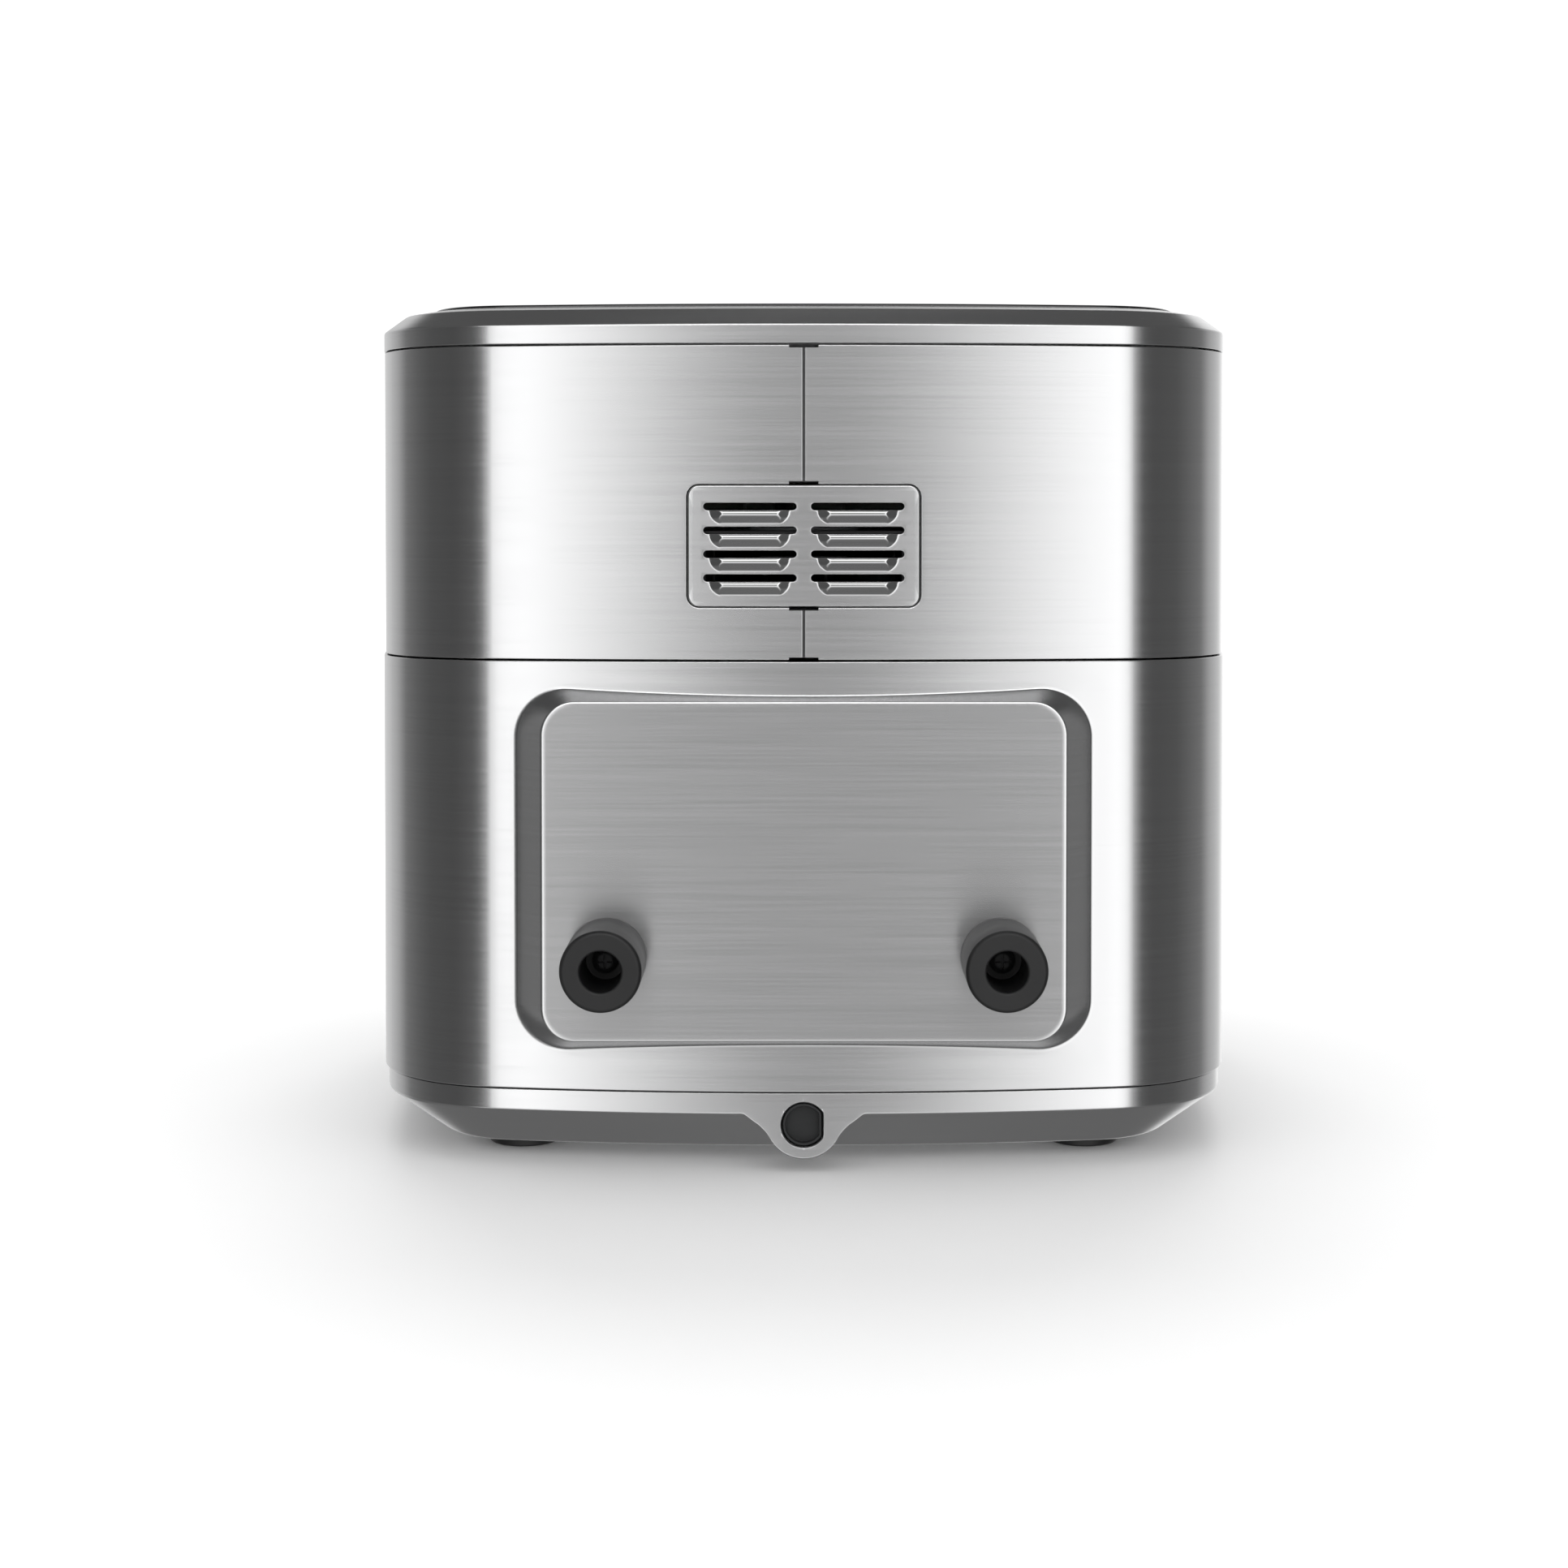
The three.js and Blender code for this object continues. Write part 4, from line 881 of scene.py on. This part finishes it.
columns_s = around(3.0, [0.5 * k for k in range(-43, 44)])
base_columns = []
for u in columns_s:
    x, y = outline(u)
    inside = [(3.2, FLOOR_TOP + (BASE_TOP - FLOOR_TOP) * t) for t in (0.68, 1.0)]
    column = inside + base_column(x, y > 0)
    base_columns.append([(*outline(u, inset), z) for inset, z in column])
base_rings = [list(ring) for ring in zip(*base_columns)]
inner_floor = plan_rings(columns_s, [(23.2, FLOOR_TOP)])[0]
base_surface = Surface()
base_surface.loft([inner_floor, *base_rings])
base_surface.fan(inner_floor, (0.0, 0.0, FLOOR_TOP))
base_surface.fan(base_rings[-1], (0.0, 0.0, BASE_BOTTOM))
base = to_mesh("base_skin", base_surface)


def d_shape(radius, flat, y, count=56):
    """Round outline with a flat on its -X side, in the plane at y."""
    points = []
    for k in range(count):
        a = 2 * math.pi * k / count
        points.append((max(radius * math.cos(a), -flat), y, INLET_Z + radius * math.sin(a)))
    return points


def d_solid(name, sections):
    s = Surface()
    s.loft([d_shape(r, flat, y) for y, r, flat in sections], cap_first=True, cap_last=True)
    return to_mesh(name, s)


LUG_FACE_Y = rear_y(0.0, BASE_INSET)
POCKET_R, POCKET_START, POCKET_LENGTH = LUG_R - 2.0, 132.5, 19.0
pocket_profile = [(0.0, 0.0), (POCKET_R, 0.0), (POCKET_R, POCKET_LENGTH), (0.0, POCKET_LENGTH)]
pocket = turned("lug_pocket", pocket_profile, along_y(0, POCKET_START, LUG_Z), 48)
inlet_flare = [(148.0, 0.0), *((LUG_FACE_Y + out, grow) for out, grow in (
    (-0.75, 0.0), (-0.45, 0.12), (-0.12, 0.4), (0.3, 1.0),
))]
inlet_hole = d_solid("inlet_hole", [(y, INLET_R + grow, INLET_FLAT + grow) for y, grow in inlet_flare])
cut_with(base, pocket, inlet_hole)
put(base, "housing", "brushed_steel", "base_pan", brushed=0.0, sharp=48)

GLAND_FLAT = 1.1  # the bush's flat lies this far inside its radius
gland = d_solid("inlet_bush", [(y, r, r - GLAND_FLAT) for y, r in (
    (150.5, 5.9), (150.6, 6.1), (152.5, 6.1), (152.9, 6.3), (153.0, 6.6), (152.9, 6.9), (152.5, 7.1),
    (150.1, 7.1), (149.9, 8.5), (147.2, 8.7), (147.0, 8.5),
)])
put(gland, "housing", "grey_plastic", "cord_gland")

# ---------- feet
foot_profile = round_path(
    [(2.2, 1.2), (7.0, 1.2), (7.6, 0.0), (12.2, 0.0), (12.5, 3.7), (4.0, 3.7), (4.0, 9.0), (2.2, 9.0)],
    [0, 0.2, 0.5, 0.8, 0.5, 0.3, 0.4, 0.3], 4,
)
FOOT_X, FOOT_Y = 98, 105
for end, y in (("front", -FOOT_Y), ("rear", FOOT_Y)):
    for side, x in (("right", FOOT_X), ("left", -FOOT_X)):
        foot = turned(f"foot_pad_{end}_{side}", foot_profile, along_z(x, y, 0), 56)
        put(foot, "housing", "rubber", f"foot_{end}_{side}")

# ---------- top rim and panel
rim = sweep(round_path(
    [(0.4, 276.25), (0.4, 282.6), (8.0, 288.2), (17.0, 289.8), (18.0, 289.8), (18.0, 287.3), (15.0, 286.9),
     (2.4, 281.6), (2.4, 276.25)],
    [0.4, 1.1, 3.0, 0.7, 0.35, 0.2, 0, 0.4, 0.2], 6,
), 2.5)
put(to_mesh("top_rim_skin", rim), "housing", "brushed_steel", "top_rim", brushed=1.0, sharp=50)

PANEL_INSET, PANEL_UNDER, PANEL_TOP = 18.3, 286.6, 290.8
panel_edge = [(PANEL_INSET, PANEL_UNDER), (PANEL_INSET, PANEL_TOP), (60.0, PANEL_TOP)]
panel_profile = round_path(panel_edge, [0.0, 0.9, 0.0], 7, closed=False)[:-1]
panel_rings = plan_rings(around(2.5), panel_profile)
top = Surface()
top.loft(panel_rings)
for f in (0.75, 0.5, 0.25):
    panel_rings.append([(x * f, y * f, PANEL_TOP) for x, y, _ in panel_rings[len(panel_profile) - 1]])
top.loft(panel_rings[len(panel_profile) - 1:], cap_last=True)
top.fan(panel_rings[0], (0.0, 0.0, PANEL_UNDER))
put(to_mesh("top_panel_sheet", top), "housing", "black_panel", "top_panel")

# ---------- rear stand-offs and their screws
SPACER_X, SPACER_Z, SPACER_FLOOR, SPACER_TIP = 65.2, 73.0, 163.6, 187.6
spacer_profile = round_path(
    [(2.2, 158.75), (13.1, 158.75), (13.3, 161.5), (13.3, SPACER_TIP), (6.65, SPACER_TIP),
     (6.65, SPACER_FLOOR), (2.2, SPACER_FLOOR)],
    [0.1, 0.35, 0.4, 1.5, 0.9, 0.5, 0.2], 6,
)
screw_profile = round_path(
    [(0.0, 148.0), (1.6, 148.0), (1.9, 150.0), (1.9, 163.9), (4.2, 163.9), (4.2, 165.4), (2.6, 166.7),
     (0.0, 166.7)],
    [0, 0.3, 0, 0.1, 0.3, 0.6, 1.4, 0], 5,
)
for side, x in (("right", SPACER_X), ("left", -SPACER_X)):
    spacer = turned(f"stand_off_{side}", spacer_profile, along_y(x, 0, SPACER_Z), 72)
    put(spacer, "housing", "rubber", f"rear_spacer_{side}", sharp=60)
    screw = turned(f"stand_off_screw_{side}", screw_profile, along_y(x, 0, SPACER_Z), 40)
    cut_with(
        screw,
        box("recess_a", (x - 2.4, 165.2, SPACER_Z - 0.45), (x + 2.4, 168, SPACER_Z + 0.45)),
        box("recess_b", (x - 0.45, 165.2, SPACER_Z - 2.4), (x + 0.45, 168, SPACER_Z + 2.4)),
    )
    put(screw, "housing", "blackened_steel", f"spacer_screw_{side}")


# ---------- drawer front, pan and handle trim
FRONT_OUT = -1.5
FRONT_BACK_Y = -141.0
front_half = s_at(BAY_HALF - 0.7)


def on_front(inset):
    """Placing function for a plate on the front, with u = 0 at the middle of the front."""
    def place(u, v, depth):
        x, y = outline(FRONT_S + u, inset + depth)
        return x, y, v
    return place


def front_back(u, v):
    x, _ = outline(FRONT_S + u, FRONT_OUT + 2.6)
    return x, FRONT_BACK_Y, v


front_shape = Rounded(-front_half, BAY_LOW + 0.7, front_half, BAY_HIGH - 0.7, 10.0)
front = plate(front_shape, 4.0, on_front(FRONT_OUT), 2.9, 2.6, step=3.5, back=front_back, back_edge=0.0)
put(to_mesh("drawer_face", front), "drawer", "brushed_steel", "drawer_front", brushed=0.0, sharp=50)

PAN_OUT, PAN_R = (-116.0, -140.7, 116.0, 104.0), 22.0
pan_shape = Rounded(*PAN_OUT, PAN_R)
pan_codes = pan_shape.codes(44, 44)
pan_path = round_path(
    [(20.0, 37.0), (0.0, 37.0), (0.0, 118.0), (2.0, 118.0), (2.0, 39.0), (20.0, 39.0)],
    [0, 7.0, 0.9, 0.9, 6.0, 0], 8, closed=False,
)
pan = Surface()
pan_rings = [[(*pan_shape.at(c, -inset), z) for c in pan_codes] for inset, z in pan_path]
pan.loft(pan_rings)
for ring in (pan_rings[0], pan_rings[-1]):
    pan.fan(ring, (0.0, (PAN_OUT[1] + PAN_OUT[3]) / 2, ring[0][2]))
put(to_mesh("drawer_basket", pan), "drawer", "nonstick_coating", "drawer_pan", sharp=50)

TRIM_HALF, TRIM_Y, TRIM_Z = 58.0, (-203.6, -201.6), (95.0, 107.0)
trim_bar = box("trim_bar", (-TRIM_HALF, TRIM_Y[0], TRIM_Z[0]), (TRIM_HALF, TRIM_Y[1], TRIM_Z[1]), 0.6)
put(trim_bar, "drawer", "brushed_steel", "handle_trim", brushed=0.0)

# ---------- fascia, lamps and knobs
KNOB_X, KNOB_Z, KNOB_TOP = 38.0, 220.0, 19.5
LENS_X, LENS_Z, LENS_R = 9.0, 250.0, 2.6
FASCIA_OUT = -0.2
knob_angle = math.asin(KNOB_X / (BOW_R - FASCIA_OUT))
knob_skin_y = -(BOW_R - FASCIA_OUT) * math.cos(knob_angle) + BOW_CENTRE


def at_knob(side):
    """Places a turned piece square to the fascia, with its axis outwards."""
    c, d = math.cos(math.pi + side * knob_angle), math.sin(math.pi + side * knob_angle)
    return lambda u, h, w: (c * u - d * h + side * KNOB_X, d * u + c * h + knob_skin_y, w + KNOB_Z)


def round_hole(x, z, radius):
    return Rounded(x - radius, z - radius, x + radius, z + radius, radius - 0.01)


fascia_half = s_at(FASCIA_HALF)
fascia_shape = Rounded(-fascia_half, FASCIA_LOW, fascia_half, FASCIA_HIGH, FASCIA_R)
fascia_holes = [(round_hole(s_at(x), LENS_Z, LENS_R + 0.3), 1.0) for x in (-LENS_X, LENS_X)]
fascia_holes += [(round_hole(s_at(x), KNOB_Z, 3.4), 1.0) for x in (-KNOB_X, KNOB_X)]
fascia = plate(fascia_shape, 4.0, on_front(FASCIA_OUT), 3.6, 0.8, fascia_holes, 0.3, step=3.0)
put(to_mesh("fascia_plate", fascia), "housing", "black_panel", "control_fascia")

lens_profile = round_path(
    [(0.0, 0.0), (LENS_R, 0.0), (LENS_R, 4.0), (1.4, 4.75), (0.0, 4.75)], [0, 0, 0.8, 1.2, 0], 5
)
for name, x in (("power", -LENS_X), ("heat", LENS_X)):
    lens = turned(f"lamp_{name}", lens_profile, lambda u, h, w, x=x: (x + u, -150.9 - h, LENS_Z + w), 32)
    put(lens, "housing", "lamp_lens", f"indicator_lens_{name}")

knob_profile = round_path(
    [(3.05, 0.5), (21.0, 0.5), (21.0, 2.6), (17.4, 4.4), (15.8, 18.2), (13.6, KNOB_TOP), (9.6, KNOB_TOP),
     (9.6, 18.7), (0.0, 18.7), (0.0, 14.0), (3.05, 14.0)],
    [0, 0.6, 0.8, 1.6, 1.6, 1.5, 0.3, 0.2, 0, 0, 0], 5,
)
cap_profile = round_path([(0.0, 18.75), (9.3, 18.75), (9.3, 19.6), (0.0, 19.9)], [0, 0, 0.5, 0], 5)
FLUTES, FLUTE_DEPTH = 30, 0.75


def flute(radius, height, angle):
    inside = smooth(height, 4.6, 6.5) * (1 - smooth(height, 16.4, 18.4))
    if radius < 14.0:
        return radius
    return radius - FLUTE_DEPTH * inside * (0.5 + 0.5 * math.cos(FLUTES * angle)) ** 3


def knob_bar(place, low, high, half, heights, turn=0.0):
    """Thin bar pointing away from a knob's axis, from radius low to high."""
    s = Surface()
    c, d = math.cos(turn), math.sin(turn)
    flat = round_path([(-half, low), (half, low), (half, high), (-half, high)], [half * 0.8] * 4, 3)
    rings = []
    h0, h1 = heights
    for h, grow in ((h0, 1.0), (h1 - 0.08, 1.0), (h1, 0.86)):
        middle = (low + high) / 2
        ring = []
        for u, w in flat:
            u, w = u * grow, middle + (w - middle) * (1 - (1 - grow) * 0.2)
            ring.append(place(c * u + d * w, h, -d * u + c * w))
        rings.append(ring)
    s.loft(rings, cap_first=True, cap_last=True)
    return s


def merged(name, surfaces):
    whole = Surface()
    for s in surfaces:
        offset = len(whole.points)
        whole.points += s.points
        whole.faces += [[i + offset for i in face] for face in s.faces]
    return to_mesh(name, whole)


POINTER_REACH = (10.2, 14.2)
TICK_START, SHORT_TICK, LONG_TICK = 23.2, 25.2, 26.4
for side, role, sweep_deg, marks in ((-1, "temperature", 270, 10), (1, "timer", 300, 13)):
    place = at_knob(side)
    body = f"{role}_knob"
    knob = turned(f"{role}_knob_grip", knob_profile, place, 240, flute)
    put(knob, body, "black_plastic", f"knob_{role}", sharp=50)
    put(turned(f"{role}_knob_cap", cap_profile, place, 72), body, "bright_steel")
    pointer = knob_bar(place, *POINTER_REACH, 0.7, (KNOB_TOP - 0.4, KNOB_TOP + 0.15))
    put(to_mesh(f"{role}_knob_pointer", pointer), body, "white_plastic", weighted=False)
    ticks = []
    for k in range(marks):
        turn = math.radians(sweep_deg * k / (marks - 1))
        high = LONG_TICK if k % 3 == 0 else SHORT_TICK
        ticks.append(knob_bar(place, TICK_START, high, 0.36, (-0.3, 0.12), -turn))
    put(merged(f"{role}_dial_marks", ticks), "housing", "white_plastic", weighted=False)

# ---------- pieces kept from the CAD, with softened edges
KEPT = {  # slot, and for each piece the width of its softened edges
    "black_plastic": {
        "handle_grip": 2.6, "cord_clamp": 1.0, "drawer_switch": 0.8,
        # The seam strips are black plastic. Seen through the rear slit and its notches, they also paint the
        # shade there.
        "seam_strip_lower": 0.3, "seam_strip_upper": 0.3,
    },
    "nonstick_coating": {"crisper_tray": 0.5},
    "silicone": {f"tray_bumper_{end}_{side}": 0.9 for end in ("front", "rear") for side in ("left", "right")},
    "galvanised_sheet": {
        "chamber_liner": 0.5, "fan_housing": 0.5, "motor_bracket": 0.4, "convection_fan": 0.3,
    },
    # The exhaust duct behind the louvre slots gets this near-black steel so the slots read dark: painted shade.
    "blackened_steel": {"exhaust_duct": 0.4},
    "bright_steel": {
        "temperature_shaft": 0.4, "timer_shaft": 0.4, "drawer_rail_left": 0.5, "drawer_rail_right": 0.5,
        "element_guard": 0.3, "motor_shaft": 0.4, "fan_nut": 0.5,
        "handle_screw_left": 0.3, "handle_screw_right": 0.3,
    },
    "element_sheath": {"heating_element": 0.3},
    "motor_casting": {"motor_housing": 1.2},
    "white_plastic": {
        "cooling_fan": 0.3, "thermostat": 1.0, "mechanical_timer": 1.2, "terminal_block": 0.7,
        "switch_plunger": 0.4,
    },
}
for slot, members in KEPT.items():
    for name, width in members.items():
        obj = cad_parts[name]
        obj.data.materials.clear()
        obj.data.materials.append(SLOTS[slot])
        bevelled(obj, width, angle=32)
        obj.modifiers.new("Normals", "WEIGHTED_NORMAL").keep_sharp = True
        obj.data.polygons.foreach_set("use_smooth", [True] * len(obj.data.polygons))

# ---------- studio: floor, plain surround, light tent, camera
scene = bpy.context.scene
scene.view_settings.view_transform = "Standard"


def hide_from(obj, *rays):
    for ray in rays:
        setattr(obj, f"visible_{ray}", False)


def dome(name, cloth_name, segments, radius):
    """Sphere round the whole scene, with the empty node tree that will light it."""
    bpy.ops.mesh.primitive_uv_sphere_add(
        segments=segments, ring_count=segments // 2, radius=radius, location=(0, 0, 0.2)
    )
    made = bpy.context.object
    made.name = name
    cloth = bpy.data.materials.new(cloth_name)
    cloth.use_nodes = True
    cloth.node_tree.nodes.clear()
    cloth.cycles.emission_sampling = "NONE"
    made.data.materials.append(cloth)
    return made, cloth.node_tree


def glow(tree, strength):
    light = node(tree, "Emission", {"Strength": strength})
    node(tree, "OutputMaterial", {"Surface": light.outputs[0]})


def mixed(tree, share, a, b):
    """a where share is 0 and b where it is 1."""
    return node(tree, "Mix", {0: share, 2: a, 3: b}, data_type="FLOAT").outputs[0]


bpy.ops.mesh.primitive_plane_add(size=40, location=(0, 0, 0))
floor = bpy.context.object
floor.name = "floor"
paper, _, shader, _ = finish_of("floor_paper")
shader.inputs["Base Color"].default_value = (0.93, 0.93, 0.93, 1)
shader.inputs["Roughness"].default_value = 0.9
shader.inputs["Specular IOR Level"].default_value = 0.1
floor.data.materials.append(paper)
hide_from(floor, "glossy")

world = bpy.data.worlds.new("surround")
scene.world = world
world.use_nodes = True
background = world.node_tree.nodes["Background"]
background.inputs["Color"].default_value = (1, 1, 1, 1)
background.inputs["Strength"].default_value = 1.0
world.cycles_visibility.glossy = False

STEEL_MIRROR = 0.66  # share of the tent's light that the steel gives back
TENT_TONES = [  # bearing in degrees and tone there
    (-180, 0.45), (-166, 0.8), (-141, 0.47), (-121, 0.33), (-108, 0.15), (-78, 0.078), (-55, 0.066),
    (-45, 0.085), (-38, 0.34), (-34, 0.95), (-25, 1.12), (-20, 0.87), (-15, 0.66), (-8.7, 0.39), (-4, 0.28),
    (0, 0.265), (4, 0.31), (8.7, 0.455), (15, 0.74), (20, 1.0), (23, 1.25), (25, 1.05), (27, 0.32),
    (31, 0.15), (37, 0.082), (55, 0.062), (78, 0.072), (92, 0.1), (108, 0.15), (121, 0.33), (141, 0.47),
    (180, 0.5),
]
TENT_TOP = 2.0  # the ramp's stops hold tones divided by this, as a ramp's colours end at 1

tent, tree = dome("light_tent", "tent_cloth", 64, 20)
place_on_tent = node(tree, "TexCoord").outputs["Object"]
direction = node(tree, "VectorMath", {0: place_on_tent}, operation="NORMALIZE").outputs[0]
split = node(tree, "SeparateXYZ", {0: direction}).outputs
bearing = math_node(tree, "ARCTAN2", split[0], split[1])
around = math_node(tree, "ADD", math_node(tree, "DIVIDE", bearing, 2 * math.pi), 0.5)
stops = [(angle / 360 + 0.5, tone / TENT_TOP) for angle, tone in TENT_TONES]
ring = math_node(tree, "MULTIPLY", ramp(tree, around, stops), TENT_TOP)
above = stepped(tree, split[2], 0.4, 0.6)
below = stepped(tree, split[2], -0.4, -0.6)
off_rear = math_node(tree, "ABSOLUTE", bearing)
aside = stepped(tree, off_rear, math.radians(32), math.radians(52), 1.0, 0.12)
roof = math_node(tree, "MULTIPLY", stepped(tree, split[1], 0.6, 0.78, 0.12, 2.6), aside)
roof = math_node(tree, "ADD", roof, 0.06)
ground = stepped(tree, split[1], 0.5, 0.75, 0.115, 0.75)
tone = mixed(tree, below, mixed(tree, above, ring, roof), ground)
glow(tree, math_node(tree, "DIVIDE", tone, STEEL_MIRROR))
hide_from(tent, "camera", "diffuse", "transmission", "shadow", "volume_scatter")

backdrop, tree = dome("white_backdrop", "backdrop_white", 32, 25)
glow(tree, 1.1)
hide_from(backdrop, "diffuse", "glossy", "transmission", "shadow")

key_data = bpy.data.lights.new("soft_key", "SUN")
key_data.energy = 1.2
key_data.angle = math.radians(36)
key = bpy.data.objects.new("soft_key", key_data)
scene.collection.objects.link(key)
key.rotation_euler = (math.radians(40), 0.0, 0.0)
hide_from(key, "glossy")

camera_data = bpy.data.cameras.new("camera")
camera = bpy.data.objects.new("camera", camera_data)
scene.collection.objects.link(camera)
camera_data.sensor_width = 36
camera_data.lens = 60.34
camera_data.shift_x = -0.0126
camera_data.shift_y = -0.125
camera_data.clip_start, camera_data.clip_end = 0.01, 100
camera.location = (0.0, 1.033, 0.218)
camera.rotation_euler = (math.radians(90 - 1.5), 0.0, math.radians(180))
scene.camera = camera
